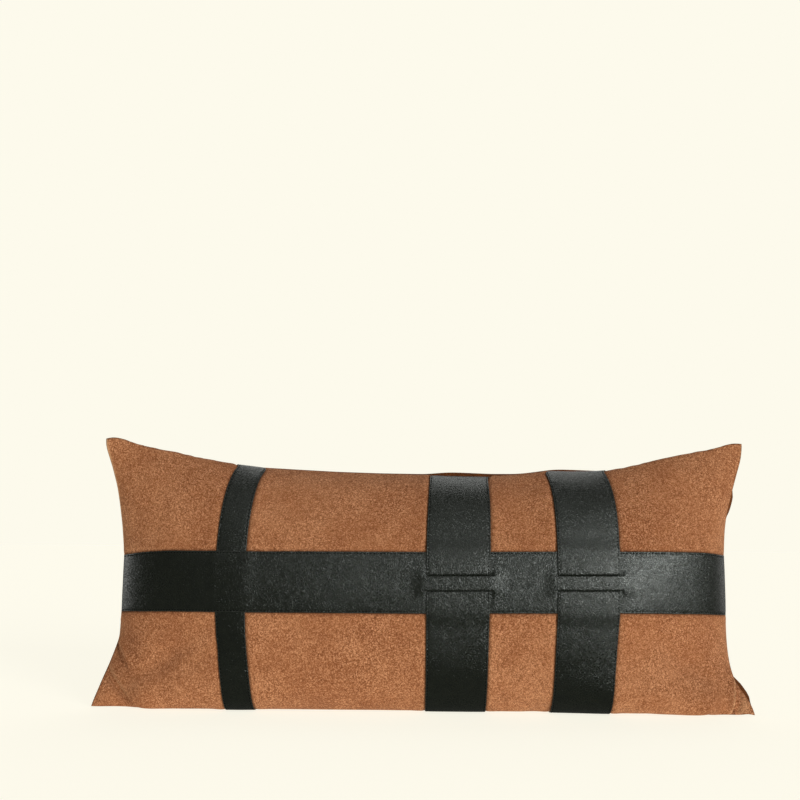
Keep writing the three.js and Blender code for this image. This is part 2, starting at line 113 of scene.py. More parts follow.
def start_shape():
    """The stuffed form before the cloth is let go: front grid (NV+1, NU+1, 3), in millimetres."""
    s = np.r_[0, np.cumsum(np.linalg.norm(np.diff(SECTION, axis=0), axis=1))]
    q = np.linspace(0, s[-1], NV + 1)
    fy, fz = np.interp(q, s, SECTION[:, 0]), np.interp(q, s, SECTION[:, 1])
    for _ in range(4):
        fy[1:-1] = (fy[:-2] + 2 * fy[1:-1] + fy[2:]) / 4
        fz[1:-1] = (fz[:-2] + 2 * fz[1:-1] + fz[2:]) / 4
    top, left, right = curve(TOP, NU), curve(LEFT, NV), curve(RIGHT, NV)
    a = np.linspace(-1, 1, NU + 1)
    b = np.linspace(-1, 1, NV + 1)
    full = np.power(np.maximum(0, 1 - np.abs(a) ** 4.5), 0.8)
    lower = np.maximum(0, (np.abs(a) - 0.8) / 0.2) ** 1.4
    upper = np.maximum(0, (np.abs(a) - 0.45) / 0.55) ** 1.7
    A, B = np.meshgrid(a, b)
    w = lower[None] + (upper - lower)[None] * smooth((B + 0.95) / 1.25)
    g = np.zeros((NV + 1, NU + 1, 3))
    side_l, side_r = left[:, 0][:, None], right[:, 0][:, None]
    half = np.where(A < 0, -side_l, side_r)
    inner = 350 * (0.969 - 0.028 * B ** 2)
    g[..., 0] = A * (inner + (half - inner) * np.abs(A) ** 6)
    zs = np.where(A < 0, left[:, 1][:, None], right[:, 1][:, None])
    ztop = top[:, 1][None]
    g[..., 2] = (1 - w) * (fz[:, None] + (ztop - 243) * smooth((B - 0.2) / 0.8)) + w * zs
    g[..., 1] = -fy[:, None] * full[None] * 0.96
    # edges on the seam
    bottom_x = np.linspace(left[0, 0], right[0, 0], NU + 1)
    g[0, :, 0], g[0, :, 2] = bottom_x, lower_seam(bottom_x)
    g[-1, :, 0], g[-1, :, 2] = top[:, 0], top[:, 1]
    g[:, 0, 0], g[:, 0, 2] = left[:, 0], left[:, 1]
    g[:, -1, 0], g[:, -1, 2] = right[:, 0], right[:, 1]
    g[0, :, 1] = g[-1, :, 1] = g[:, 0, 1] = g[:, -1, 1] = 0
    g[..., 2] = np.maximum(g[..., 2], 0.6)
    return g


def seam_bend(g):
    """How far the seam leaves the middle plane at each grid point's place, in millimetres."""
    x, z = g[..., 0], g[..., 2]
    low_r = np.exp(-(((x - 340) / 38) ** 2) - (np.maximum(z, 0) / 42) ** 1.6)
    low_l = np.exp(-(((x + 345) / 38) ** 2) - (np.maximum(z, 0) / 44) ** 1.6)
    top_r = np.exp(-(((x - 343) / 40) ** 2 + ((z - 280) / 40) ** 2))
    top_l = np.exp(-(((x + 343) / 40) ** 2 + ((z - 280) / 40) ** 2))
    return -13 * low_r - 6 * low_l + 3 * top_r - 3 * top_l


def simulate():
    front = start_shape()
    bend = seam_bend(front)
    front[..., 1] += bend
    back = front.copy()
    back[..., 1] = 2 * bend - front[..., 1]
    nf = (NV + 1) * (NU + 1)
    fid = np.arange(nf).reshape(NV + 1, NU + 1)
    bid = fid.copy()
    bid[1:-1, 1:-1] = nf + np.arange((NV - 1) * (NU - 1)).reshape(NV - 1, NU - 1)
    verts = np.concatenate([front.reshape(-1, 3), back[1:-1, 1:-1].reshape(-1, 3)]) * MM
    faces = []
    for j in range(NV):
        for i in range(NU):
            faces.append((fid[j, i], fid[j, i + 1], fid[j + 1, i + 1], fid[j + 1, i]))
            faces.append((bid[j, i], bid[j + 1, i], bid[j + 1, i + 1], bid[j, i + 1]))
    me = bpy.data.meshes.new("sim")
    me.from_pydata(verts.tolist(), [], [tuple(int(k) for k in f) for f in faces])
    ob = bpy.data.objects.new("sim", me)
    scene.collection.objects.link(ob)
    # the flat pattern is what the cloth wants to return to
    a = np.linspace(-L / 2, L / 2, NU + 1) * PATTERN_X
    b = np.linspace(-H / 2, H / 2, NV + 1) * PATTERN_Z
    flat = np.zeros((NV + 1, NU + 1, 3))
    flat[..., 0], flat[..., 2] = a[None], b[:, None]
    rest = np.concatenate([flat.reshape(-1, 3), flat[1:-1, 1:-1].reshape(-1, 3)]) * MM
    ob.shape_key_add(name="Basis")
    key = ob.shape_key_add(name="pattern")
    key.data.foreach_set("co", rest.ravel())
    key.value = 0
    pin = ob.vertex_groups.new(name="pin")
    rim = np.zeros((NV + 1, NU + 1), bool)
    rim[0] = rim[-1] = rim[:, 0] = rim[:, -1] = True
    pin.add([int(k) for k in fid[rim]], 1.0, "REPLACE")
    stiff = ob.vertex_groups.new(name="stiff")
    uu = np.linspace(-L / 2, L / 2, NU + 1)
    vv = np.linspace(-H / 2, H / 2, NV + 1)
    U, V = np.meshgrid(uu, vv)
    strap = (np.abs(V - STRAP_V) < HALF_W + 2)
    for c, h in ((C_NARROW, HALF_N), (C_MID, HALF_W), (C_RIGHT, HALF_W)):
        strap |= np.abs(U - c) < h + 2
    stiff.add([int(k) for k in fid[strap & ~rim]], 1.0, "REPLACE")
    floor = bpy.data.meshes.new("simfloor")
    floor.from_pydata([(-0.6, -0.4, 0), (0.6, -0.4, 0), (0.6, 0.4, 0), (-0.6, 0.4, 0)], [], [(0, 1, 2, 3)])
    fo = bpy.data.objects.new("simfloor", floor)
    scene.collection.objects.link(fo)
    fo.modifiers.new("Collision", "COLLISION")
    fo.collision.thickness_outer = 0.001
    fo.collision.cloth_friction = 2
    mod = ob.modifiers.new("Cloth", "CLOTH")
    s = mod.settings
    s.quality = 6
    s.mass = 0.3
    s.air_damping = 3
    s.tension_stiffness = 40
    s.compression_stiffness = 12
    s.shear_stiffness = 12
    s.bending_stiffness = 0.7
    s.bending_stiffness_max = 6
    s.vertex_group_bending = "stiff"
    s.tension_damping = 12
    s.compression_damping = 8
    s.shear_damping = 8
    s.bending_damping = 1
    s.vertex_group_mass = "pin"
    s.pin_stiffness = 1.0
    s.use_pressure = True
    s.uniform_pressure_force = PRESSURE
    s.effector_weights.gravity = 0
    s.rest_shape_key = key
    mod.collision_settings.use_collision = True
    mod.collision_settings.distance_min = 0.001
    mod.collision_settings.use_self_collision = False
    mod.point_cache.frame_start = 1
    mod.point_cache.frame_end = FRAMES + 1
    scene.frame_start, scene.frame_end = 1, FRAMES + 1
    for f in range(1, FRAMES + 1):
        scene.frame_set(f)
    ev = ob.evaluated_get(bpy.context.evaluated_depsgraph_get())
    co = np.zeros(len(ev.data.vertices) * 3)
    ev.data.vertices.foreach_get("co", co)
    co = co.reshape(-1, 3) / MM
    scene.frame_set(1)
    for o in (ob, fo):
        data = o.data
        bpy.data.objects.remove(o, do_unlink=True)
        bpy.data.meshes.remove(data)
    return co[fid], co[bid]



STRAP_V = 17.4
PATTERN_X, PATTERN_Z = 0.975, 0.965
PRESSURE = 5.0
FRAMES = 36
F, B = simulate()

# ---------------------------------------------------------------- the settled form as two smooth faces
mid = (F + B) / 2
half = (B - F) / 2
ring = np.minimum.outer(np.minimum(np.arange(NV + 1), NV - np.arange(NV + 1)), np.full(NU + 1, 99))
ring = np.minimum(ring, np.minimum(np.arange(NU + 1), NU - np.arange(NU + 1))[None])
least = np.minimum(ring * 0.5, 1.6)
half[..., 1] = np.maximum(half[..., 1], least)
F, B = mid - half, mid + half
for g in (F, B):
    for _ in range(1):
        k = (g[:-2, 1:-1] + g[2:, 1:-1] + g[1:-1, :-2] + g[1:-1, 2:]) / 4
        g[1:-1, 1:-1] = 0.7 * g[1:-1, 1:-1] + 0.3 * k
# it settles on the ground, a little further forward toward its ends
v_row = np.linspace(0, H, NV + 1)[:, None]
for g, side in ((F, -1), (B, 1)):
    x, z = g[..., 0].copy(), g[..., 2].copy()
    ends = smooth((np.abs(x) - 268) / 22)
    part = np.maximum(smooth(v_row / 16), ends) if side < 0 else ends
    forward = 17 * smooth((x - 120) / 150) + 7 * smooth((-x - 120) / 150)
    forward = forward + 9 * np.exp(-(((np.abs(x) - 289) / 15) ** 2))
    g[..., 2] -= 2.9 * np.exp(-(((np.abs(x) - 286) / 17) ** 2) - ((z / 8) ** 2))
    g[..., 1] -= forward * part * np.exp(-((z / 36) ** 2))
    g[..., 2] -= 1.6 * np.exp(-((z / 9) ** 2)) * smooth(v_row / 8)
# the zip holds the lower seam open by its own width
for g, side in ((F, -1), (B, 1)):
    zo = np.clip((280 - np.abs(g[..., 0])) / 14, 0, 1) * np.clip((22 - g[..., 2]) / 10, 0, 1)
    g[..., 1] += side * 5.3 * np.exp(-((g[..., 1] / 6.5) ** 2)) * zo


def spline(t, n):
    t = np.clip(t, 0, n)
    i = np.minimum(t.astype(int), n - 1)
    f = t - i
    w = np.stack([(1 - f) ** 3, 3 * f ** 3 - 6 * f ** 2 + 4, -3 * f ** 3 + 3 * f ** 2 + 3 * f + 1, f ** 3], -1) / 6
    d = np.stack([-(1 - f) ** 2, 3 * f ** 2 - 4 * f, -3 * f ** 2 + 2 * f + 1, f ** 2], -1) / 2
    return i, w, d


class Face:
    """A smooth surface over the cut pattern. side is -1 for the face toward -Y and +1 for the other."""

    def __init__(self, grid, side, laid=None):
        self.side = side
        self.laid = laid
        g = np.empty((NV + 3, NU + 3, 3))
        g[1:-1, 1:-1] = grid
        g[0, 1:-1] = 2 * grid[0] - grid[1]
        g[-1, 1:-1] = 2 * grid[-1] - grid[-2]
        g[:, 0] = 2 * g[:, 1] - g[:, 2]
        g[:, -1] = 2 * g[:, -2] - g[:, -3]
        self.g = g

    def at(self, u, v):
        """Points, outward normals and the two tangents. With a laid line, v = STRAP_V is the line that the
        horizontal strap was laid along, which dips in the cut pattern toward the ends."""
        u, v = np.broadcast_arrays(np.asarray(u, float), np.asarray(v, float))
        if self.laid is not None:
            us, al, be = self.laid
            a, b = np.interp(u, us, al), np.interp(u, us, be)
            da, db = np.interp(u, us, np.gradient(al, us)), np.interp(u, us, np.gradient(be, us))
            w = 1 - (v / 150) ** 2
            ve = v + w * (a + b * v)
            p, n, pu, pv = self.raw(u, ve)
            du, dv = w * (da + db * v), 1 + w * b - v / 11250 * (a + b * v)
            k = (H / NV) / (L / NU)
            pu = pu + pv * (du / k)[..., None]
            return p, n, pu, pv * dv[..., None]
        return self.raw(u, v)

    def raw(self, u, v):
        i, wu, du = spline((u + L / 2) / L * NU, NU)
        j, wv, dv = spline((v + H / 2) / H * NV, NV)
        p = np.zeros(u.shape + (3,))
        pu, pv = p.copy(), p.copy()
        for a in range(4):
            for b in range(4):
                c = self.g[j + a, i + b]
                p += (wv[..., a] * wu[..., b])[..., None] * c
                pu += (wv[..., a] * du[..., b])[..., None] * c
                pv += (dv[..., a] * wu[..., b])[..., None] * c
        n = np.cross(pu, pv) * (-self.side)
        n /= np.maximum(np.linalg.norm(n, axis=-1, keepdims=True), 1e-9)
        return p, n, pu, pv


def ground(p):
    """Nothing goes under the surface the pillow stands on: the last 2 mm are squeezed, in order."""
    q = p.copy()
    z = q[..., 2]
    q[..., 2] = np.where(z < 2, 2.4 * np.exp((np.minimum(z, 2) - 2) / 2.4) - 0.4, z)
    return q


def mesh_object(name, verts, faces, material, uv=None, mask=None, smooth_faces=True):
    verts = np.asarray(verts, float) * MM
    me = bpy.data.meshes.new(name)
    me.from_pydata(verts.tolist(), [], faces)
    me.polygons.foreach_set("use_smooth", [smooth_faces] * len(me.polygons))
    if uv is not None:
        layer = me.uv_layers.new(name="UVMap")
        idx = np.zeros(len(me.loops), int)
        me.loops.foreach_get("vertex_index", idx)
        layer.data.foreach_set("uv", np.asarray(uv, float)[idx].ravel())
    if mask is not None:
        at = me.attributes.new("mask", "FLOAT", "POINT")
        at.data.foreach_set("value", np.asarray(mask, float))
    me.validate()
    me.update()
    ob = bpy.data.objects.new(name, me)
    scene.collection.objects.link(ob)
    me.materials.append(material)
    return ob


def grid_faces(ids, flip):
    a, b, c, d = ids[:-1, :-1], ids[:-1, 1:], ids[1:, 1:], ids[1:, :-1]
    q = np.stack([a, b, c, d] if not flip else [a, d, c, b], -1).reshape(-1, 4)
    return [tuple(int(k) for k in r) for r in q]


# ---------------------------------------------------------------- straps' places, on the cut pattern
def natural(xs, ys):
    """A smooth line through the points."""
    xs, ys = np.asarray(xs, float), np.asarray(ys, float)
    n = len(xs)
    h = np.diff(xs)
    A = np.eye(n)
    r = np.zeros(n)
    for i in range(1, n - 1):
        A[i, i - 1], A[i, i], A[i, i + 1] = h[i - 1], 2 * (h[i - 1] + h[i]), h[i]
        r[i] = 6 * ((ys[i + 1] - ys[i]) / h[i] - (ys[i] - ys[i - 1]) / h[i - 1])
    m = np.linalg.solve(A, r)

    def f(x):
        x = np.asarray(x, float)
        i = np.clip(np.searchsorted(xs, x) - 1, 0, n - 2)
        t, w = x - xs[i], h[i]
        return (ys[i] + t * ((ys[i + 1] - ys[i]) / w - w * (2 * m[i] + m[i + 1]) / 6) + t ** 2 * m[i] / 2
                + t ** 3 * (m[i + 1] - m[i]) / (6 * w))

    return f


H_HALF = 30.9
# the horizontal strap's upper and lower edge along the cover
LAID = [(-350, 16.6, -45.7), (-330, 22.9, -36.5), (-310, 28.8, -29.7), (-290, 33.4, -24.4), (-270, 37.1, -21.0),
        (-250, 39.6, -18.7), (-230, 41.7, -16.6), (-210, 43.5, -15.0), (-190, 44.8, -13.7), (-170, 45.7, -12.9),
        (-150, 46.2, -12.6), (-110, 46.6, -12.4), (-50, 47.0, -12.3), (30, 47.5, -11.9), (70, 48.0, -11.4),
        (130, 48.4, -10.9), (168, 48.4, -10.9), (190, 47.8, -11.5), (210, 46.6, -12.8), (230, 44.8, -14.5),
        (250, 42.6, -16.6), (270, 39.9, -19.2), (290, 36.8, -22.4), (310, 32.8, -27.8), (330, 27.1, -34.9),
        (350, 21.1, -43.8)]
us_l = np.linspace(-L / 2, L / 2, 281)
hi_l = natural([r[0] for r in LAID], [r[1] for r in LAID])(us_l)
lo_l = natural([r[0] for r in LAID], [r[2] for r in LAID])(us_l)
v_hi, v_lo = STRAP_V + H_HALF, STRAP_V - H_HALF
q_hi, q_lo = (hi_l - v_hi) / (1 - (v_hi / 150) ** 2), (lo_l - v_lo) / (1 - (v_lo / 150) ** 2)
be_l = (q_hi - q_lo) / (v_hi - v_lo)
al_l = q_hi - be_l * v_hi
LINE = (us_l, al_l, be_l)


def upright(half, rows):
    """A strap from the lower to the upper seam: height on the pattern, centre, half width."""
    vs = [r[0] for r in rows]
    k = natural(vs, [r[2] / half for r in rows])
    return dict(c=natural(vs, [r[1] for r in rows]), k=k, half=half)


NARROW = upright(16.0, [(-150, -196.5, 15.6), (-100, -196.5, 15.6), (-50, -199.4, 15.7), (-14, -201.4, 16.0),
                        (17.4, -202.3, 16.0), (48, -203.0, 16.1), (75, -202.9, 16.1), (100, -201.5, 16.1),
                        (125, -198.3, 15.9), (150, -192.6, 15.6)])
CENTRE = upright(33.0, [(-150, 34.6, 32.6), (-100, 33.5, 32.2), (-50, 33.3, 32.2), (-14, 33.7, 32.6),
                        (17.4, 33.9, 33.0), (48, 34.6, 33.6), (100, 36.9, 33.6), (150, 39.2, 32.4)])
RIGHTS = upright(32.8, [(-150, 168.6, 31.7), (-100, 166.3, 31.7), (-50, 166.8, 32.2), (-14, 168.3, 32.5),
                        (17.4, 169.5, 32.8), (48, 170.8, 33.1), (75, 172.1, 33.4), (100, 172.4, 33.4),
                        (125, 171.2, 33.1), (150, 168.4, 32.6)])


def offset(s, u, v):
    """How far (u, v) is from a strap's centreline, in widths of the strap at STRAP_V."""
    return (u - s["c"](v)) / s["k"](v)


T = 1.3  # strap thickness
LIE = 0.1  # air under a strap
OVER = 1.72  # underside of a strap that crosses another
SLIT_UP, SLIT_LOW = 6.2, -7.9
SLIT_PAST = 4.8  # the slits run on past the right edge of each wide strap


def ramp(x, a, b):
    return smooth((x - a) / (b - a))


def h_centre(u):
    return STRAP_V + 0.0 * u


def horizontal_lift(u, d, part):
    """Underside of the horizontal strap at distance d above its centreline. part: 1 above the upper slit,
    0 the band, -1 below the lower slit."""
    v = h_centre(u) + d
    n = offset(NARROW, u, v)
    up = 0.5 * ramp(-np.abs(n), -NARROW["half"] - 15.0, -NARROW["half"] + 1.0)
    for s in (CENTRE, RIGHTS):
        x = offset(s, u, v)
        r = ramp(x, -s["half"] - 17.0, -s["half"] + 0.5) * ramp(-x, -s["half"] - SLIT_PAST - 15, -s["half"] - 1.0)
        if part == 0:
            up = np.maximum(up, r)
        else:
            edge = SLIT_UP if part > 0 else SLIT_LOW
            away = np.exp(-(((d - edge) / 4.5) ** 2))
            inside = ramp(x, -s["half"] - 3.0, -s["half"] - 0.8) * ramp(-x, -s["half"] - SLIT_PAST, -s["half"] - 1.4)
            up = np.maximum(up, r * away * (1 - inside))
    return LIE + (OVER - LIE) * up


def woven_lift(v, s, u):
    d = v - h_centre(u)
    outer = ramp(-np.abs(d), -H_HALF - 15.0, -H_HALF + 1.5)
    outer = np.maximum(outer, ramp(-np.abs(d), -H_HALF - 2.6, -H_HALF - 0.1))
    dive = np.where(d > -1, ramp(d, SLIT_UP - 0.4, SLIT_UP + 1.9), ramp(-d, -SLIT_LOW - 0.4, -SLIT_LOW + 1.9))
    return LIE + (OVER - LIE) * np.minimum(outer, dive)


def across(h):
    """Half of a strap's cross-section, from the edge inward: distance from the edge, and top height."""
    e = [(0.0, 0.45 * T), (0.12, 0.72 * T), (0.4, 0.93 * T), (0.85, T + 0.06), (1.25, T + 0.04), (1.55, T - 0.05),
         (1.9, T - 0.1), (2.25, T - 0.05), (2.55, T + 0.03), (3.1, T + 0.08), (4.4, T + 0.14), (7.0, T + 0.2)]
    inner = [(x, T + 0.2 + 0.1 * min(1, (x - 7) / 8)) for x in np.arange(10, h - 0.5, 3.5)]
    return e + inner


def top_profile(dist):
    """Top height at a distance from the strap's edge."""
    e = across(40)
    return np.interp(dist, [x for x, _ in e], [y for _, y in e])


def closed_strip(name, material, P_top, P_bot, uv, mask, flip=False):
    """A closed sheet from two grids of points of one shape."""
    r, c, _ = P_top.shape
    ids_t = np.arange(r * c).reshape(r, c)
    ids_b = ids_t + r * c
    faces = grid_faces(ids_t, flip) + grid_faces(ids_b, not flip)

    def wall(a, b):
        out = []
        for k in range(len(a) - 1):
            q = (a[k + 1], a[k], b[k], b[k + 1])
            out.append(tuple(int(x) for x in (q if not flip else q[::-1])))
        return out

    faces += wall(ids_t[0], ids_b[0]) + wall(ids_t[-1][::-1], ids_b[-1][::-1])
    faces += wall(ids_t[::-1, 0], ids_b[::-1, 0]) + wall(ids_t[:, -1], ids_b[:, -1])
    verts = np.concatenate([P_top.reshape(-1, 3), P_bot.reshape(-1, 3)])
    uv2 = np.concatenate([uv.reshape(-1, 2)] * 2)
    mk = np.concatenate([mask.ravel(), mask.ravel()])
    return mesh_object(name, verts, faces, material, uv2, mk)


def uv_of(u, v):
    return np.stack([(u + L / 2) / L, (v + H / 2) / L], -1)


PANEL_HALF = 0.65
for st in (NARROW, CENTRE, RIGHTS):
    st["x"] = float(st["c"](STRAP_V))
    st["kx"] = float(st["k"](STRAP_V))


def noise1(x, seed, scale):
    """Smooth seeded noise along a line, about -1 to 1."""
    rng = np.random.RandomState(seed)
    table = rng.uniform(-1, 1, 512)
    t = np.asarray(x, float) / scale + 137.0
    i = np.floor(t).astype(int)
    f = t - i
    f = f * f * (3 - 2 * f)
    return table[i % 512] * (1 - f) + table[(i + 1) % 512] * f


# ---------------------------------------------------------------- materials
def srgb(r, g, b):
    def lin(c):
        c /= 255.0
        return c / 12.92 if c <= 0.04045 else ((c + 0.055) / 1.055) ** 2.4

    return (lin(r), lin(g), lin(b), 1.0)


SUEDE_DARK, SUEDE_MID, SUEDE_LIGHT = (146, 87, 52), (160, 100, 62), (174, 115, 76)


class Nodes:
    def __init__(self, name):
        self.m = bpy.data.materials.new(name)
        self.m.use_nodes = True
        self.t = self.m.node_tree
        self.b = next(n for n in self.t.nodes if n.type == "BSDF_PRINCIPLED")

    def new(self, kind, **values):
        n = self.t.nodes.new(kind)
        for k, v in values.items():
            if hasattr(n, k):
                setattr(n, k, v)
            else:
                n.inputs[k.replace("_", " ")].default_value = v
        return n

    def link(self, a, b):
        self.t.links.new(a, b)

    def noise(self, vec, scale, detail=4, rough=0.55, distortion=0.0):
        n = self.new("ShaderNodeTexNoise")
        n.inputs["Scale"].default_value = scale
        n.inputs["Detail"].default_value = detail
        n.inputs["Roughness"].default_value = rough
        n.inputs["Distortion"].default_value = distortion
        self.link(vec, n.inputs["Vector"])
        return n.outputs["Fac"]

    def voronoi(self, vec, scale, feature="F1", smoothness=None, randomness=1.0):
        n = self.new("ShaderNodeTexVoronoi")
        n.feature = feature
        n.inputs["Scale"].default_value = scale
        n.inputs["Randomness"].default_value = randomness
        if smoothness is not None:
            n.inputs["Smoothness"].default_value = smoothness
        self.link(vec, n.inputs["Vector"])
        return n.outputs["Distance"]

    def ramp(self, fac, stops):
        n = self.new("ShaderNodeValToRGB")
        el = n.color_ramp.elements
        while len(el) < len(stops):
            el.new(0.5)
        for e, (pos, col) in zip(el, stops):
            e.position = pos
            e.color = col if len(col) == 4 else (*col, 1)
        self.link(fac, n.inputs["Fac"])
        return n.outputs["Color"]

    def span(self, fac, a, b, lo, hi):
        n = self.new("ShaderNodeMapRange")
        for k, x in zip(("From Min", "From Max", "To Min", "To Max"), (a, b, lo, hi)):
            n.inputs[k].default_value = x
        self.link(fac, n.inputs["Value"])
        return n.outputs["Result"]

    def math(self, op, a, b):
        n = self.new("ShaderNodeMath", operation=op)
        for k, x in enumerate((a, b)):
            if isinstance(x, (int, float)):
                n.inputs[k].default_value = x
            else:
                self.link(x, n.inputs[k])
        return n.outputs[0]

    def mix(self, fac, a, b, blend="MIX"):
        n = self.new("ShaderNodeMix", data_type="RGBA", blend_type=blend)
        for sock, x in ((n.inputs[0], fac), (n.inputs[6], a), (n.inputs[7], b)):
            if isinstance(x, (int, float)):
                sock.default_value = x
            elif isinstance(x, tuple):
                sock.default_value = x
            else:
                self.link(x, sock)
        return n.outputs[2]

    def coords(self, kind="Object"):
        return self.new("ShaderNodeTexCoord").outputs[kind]

    def attribute(self, name):
        n = self.new("ShaderNodeAttribute")
        n.attribute_name = name
        return n.outputs["Fac"]

    def bump(self, height, strength, distance, normal=None):
        n = self.new("ShaderNodeBump")
        n.inputs["Strength"].default_value = strength
        n.inputs["Distance"].default_value = distance
        self.link(height, n.inputs["Height"])
        if normal is not None:
            self.link(normal, n.inputs["Normal"])
        return n.outputs["Normal"]

    def set(self, **values):
        for k, v in values.items():
            sock = self.b.inputs[k.replace("_", " ")]
            if isinstance(v, (int, float, tuple)):
                sock.default_value = v
            else:
                self.link(v, sock)


def warped(k, vec, scale, amount):
    """Coordinates pushed about by noise, so that a cell pattern looks grown."""
    n = k.new("ShaderNodeTexNoise")
    n.inputs["Scale"].default_value = scale
    n.inputs["Detail"].default_value = 2
    k.link(vec, n.inputs["Vector"])
    sub = k.new("ShaderNodeVectorMath", operation="SUBTRACT")
    k.link(n.outputs["Color"], sub.inputs[0])
    sub.inputs[1].default_value = (0.5, 0.5, 0.5)
    mul = k.new("ShaderNodeVectorMath", operation="SCALE")
    k.link(sub.outputs[0], mul.inputs[0])
    mul.inputs["Scale"].default_value = amount
    add = k.new("ShaderNodeVectorMath", operation="ADD")
    k.link(vec, add.inputs[0])
    k.link(mul.outputs[0], add.inputs[1])
    return add.outputs[0]


def suede_material():
    k = Nodes("suede")
    obj = k.coords()
    big = k.noise(obj, 13, 3, 0.5, 0.3)
    medium = k.noise(obj, 55, 4, 0.6, 0.3)
    tone = k.math("ADD", k.math("MULTIPLY", big, 0.6), k.math("MULTIPLY", medium, 0.4))
    base = k.ramp(tone, [(0.36, srgb(*SUEDE_DARK)), (0.5, srgb(*SUEDE_MID)), (0.64, srgb(*SUEDE_LIGHT))])
    # nap broken by short creases: dark in the creases, dusty on the tops
    wob = warped(k, obj, 240, 0.0022)
    crossing = k.math("ABSOLUTE", k.math("SUBTRACT", k.noise(wob, 380, 3, 0.6), 0.5), 0.0)
    cells = k.span(crossing, 0.0, 0.07, 0.0, 1.0)
    nap = k.noise(wob, 780, 4, 0.75)
    height = k.math("ADD", k.math("MULTIPLY", cells, 0.42), k.span(nap, 0.3, 0.7, 0.0, 0.58))
    depth = k.span(k.noise(obj, 26, 3, 0.6), 0.38, 0.6, 0.78, 1.12)
    base = k.mix(k.math("MULTIPLY", k.span(height, 0.55, 0.12, 0.0, 0.85), depth), base, srgb(84, 44, 24))
    base = k.mix(k.math("MULTIPLY", k.span(height, 0.55, 0.9, 0.0, 0.95), depth), base, srgb(218, 158, 116))
    # Painted shade toward dark brown where the mask is above zero, and painted highlight toward pale tan where it is
    # below zero.
    shade = k.span(k.attribute("mask"), 0, 1, 0, 0.72)
    base = k.mix(shade, base, srgb(62, 34, 20))
    painted_highlight = k.span(k.attribute("mask"), 0, -1, 0, 0.8)
    base = k.mix(painted_highlight, base, srgb(222, 176, 132))
    k.set(Base_Color=base, Roughness=0.9, Sheen_Weight=0.2, Sheen_Roughness=0.45, Specular_IOR_Level=0.2)
    k.b.inputs["Sheen Tint"].default_value = srgb(236, 190, 150)
    ripple = k.noise(warped(k, obj, 30, 0.012), 110, 3, 0.55, 0.6)
    n = k.bump(ripple, 0.4, 0.0022)
    n = k.bump(height, 0.6, 0.0005, n)
    k.set(Normal=n)
    return k.m


def backing_material():
    k = Nodes("backing")
    obj = k.coords()
    big = k.noise(obj, 16, 3, 0.5)
    medium = k.noise(obj, 90, 4, 0.6)
    tone = k.math("ADD", k.math("MULTIPLY", big, 0.5), k.math("MULTIPLY", medium, 0.5))
    # A darker, more orange brown than the front's suede, partly painted shade: the back shows only in shadow at the
    # edges, and this colour was matched there.
    base = k.ramp(tone, [(0.36, srgb(104, 56, 22)), (0.5, srgb(122, 67, 28)), (0.64, srgb(140, 80, 36))])
    wob = warped(k, obj, 260, 0.0022)
    nap = k.noise(wob, 700, 3, 0.7)
    naps = k.ramp(nap, [(0.3, (0.64, 0.62, 0.60)), (0.5, (1.0, 1.0, 1.0)), (0.7, (1.3, 1.3, 1.28))])
    base = k.mix(1.0, base, naps, "MULTIPLY")
    # Painted shade toward dark brown where the mask is above zero: along the back's seams and in its turn into the
    # seam.
    shade = k.span(k.attribute("mask"), 0, 1, 0, 0.5)
    base = k.mix(shade, base, srgb(48, 26, 13))
    k.set(Base_Color=base, Roughness=0.92, Sheen_Weight=0.16, Sheen_Roughness=0.4, Specular_IOR_Level=0.2)
    k.b.inputs["Sheen Tint"].default_value = srgb(190, 140, 100)
    n = k.bump(k.noise(obj, 90, 3), 0.3, 0.0012)
    n = k.bump(nap, 0.6, 0.0004, n)
    k.set(Normal=n)
    return k.m


def leather_material():
    k = Nodes("strap")
    obj = k.coords()
    big = k.noise(obj, 20, 3, 0.5)
    medium = k.noise(obj, 140, 4, 0.6)
    wob = warped(k, obj, 420, 0.0010)
    lines = k.voronoi(wob, 560, "DISTANCE_TO_EDGE")
    fine = k.noise(wob, 640, 3, 0.65)
    base = k.ramp(medium, [(0.3, srgb(12, 15, 9)), (0.7, srgb(19, 22, 15))])
    mask = k.attribute("mask")
    # Painted highlight toward dark grey where the mask is above zero (the straps' lips, stitch grooves and slit lips),
    # and painted shade toward black where it is below zero.
    base = k.mix(k.span(mask, 0.0, 1.0, 0.0, 0.6), base, srgb(36, 39, 34))
    base = k.mix(k.span(mask, 0.0, -1.0, 0.0, 0.8), base, srgb(5, 6, 5))
    rough = k.math("ADD", k.span(big, 0.3, 0.7, -0.04, 0.04), k.span(fine, 0.3, 0.7, 0.21, 0.33))
    k.set(Base_Color=base, Roughness=rough, Specular_IOR_Level=0.8)
    k.b.inputs["Specular Tint"].default_value = (0.93, 1.0, 0.96, 1.0)
    n = k.bump(k.noise(obj, 60, 3, 0.5), 0.3, 0.0016)
    n = k.bump(k.span(lines, 0.0, 0.2, 0.0, 1.0), 0.6, 0.0002, n)
    n = k.bump(fine, 0.7, 0.00032, n)
    k.set(Normal=n)
    return k.m


def thread_material(name, colour, rough=0.5):
    k = Nodes(name)
    obj = k.coords()
    f = k.noise(obj, 900, 2)
    c = srgb(*colour)
    dark = tuple(x * 0.6 for x in c[:3]) + (1,)
    k.set(Base_Color=k.ramp(f, [(0.35, dark), (0.65, c)]), Roughness=rough, Specular_IOR_Level=0.15)
    k.set(Normal=k.bump(k.noise(obj, 2500, 2), 0.4, 0.0001))
    return k.m


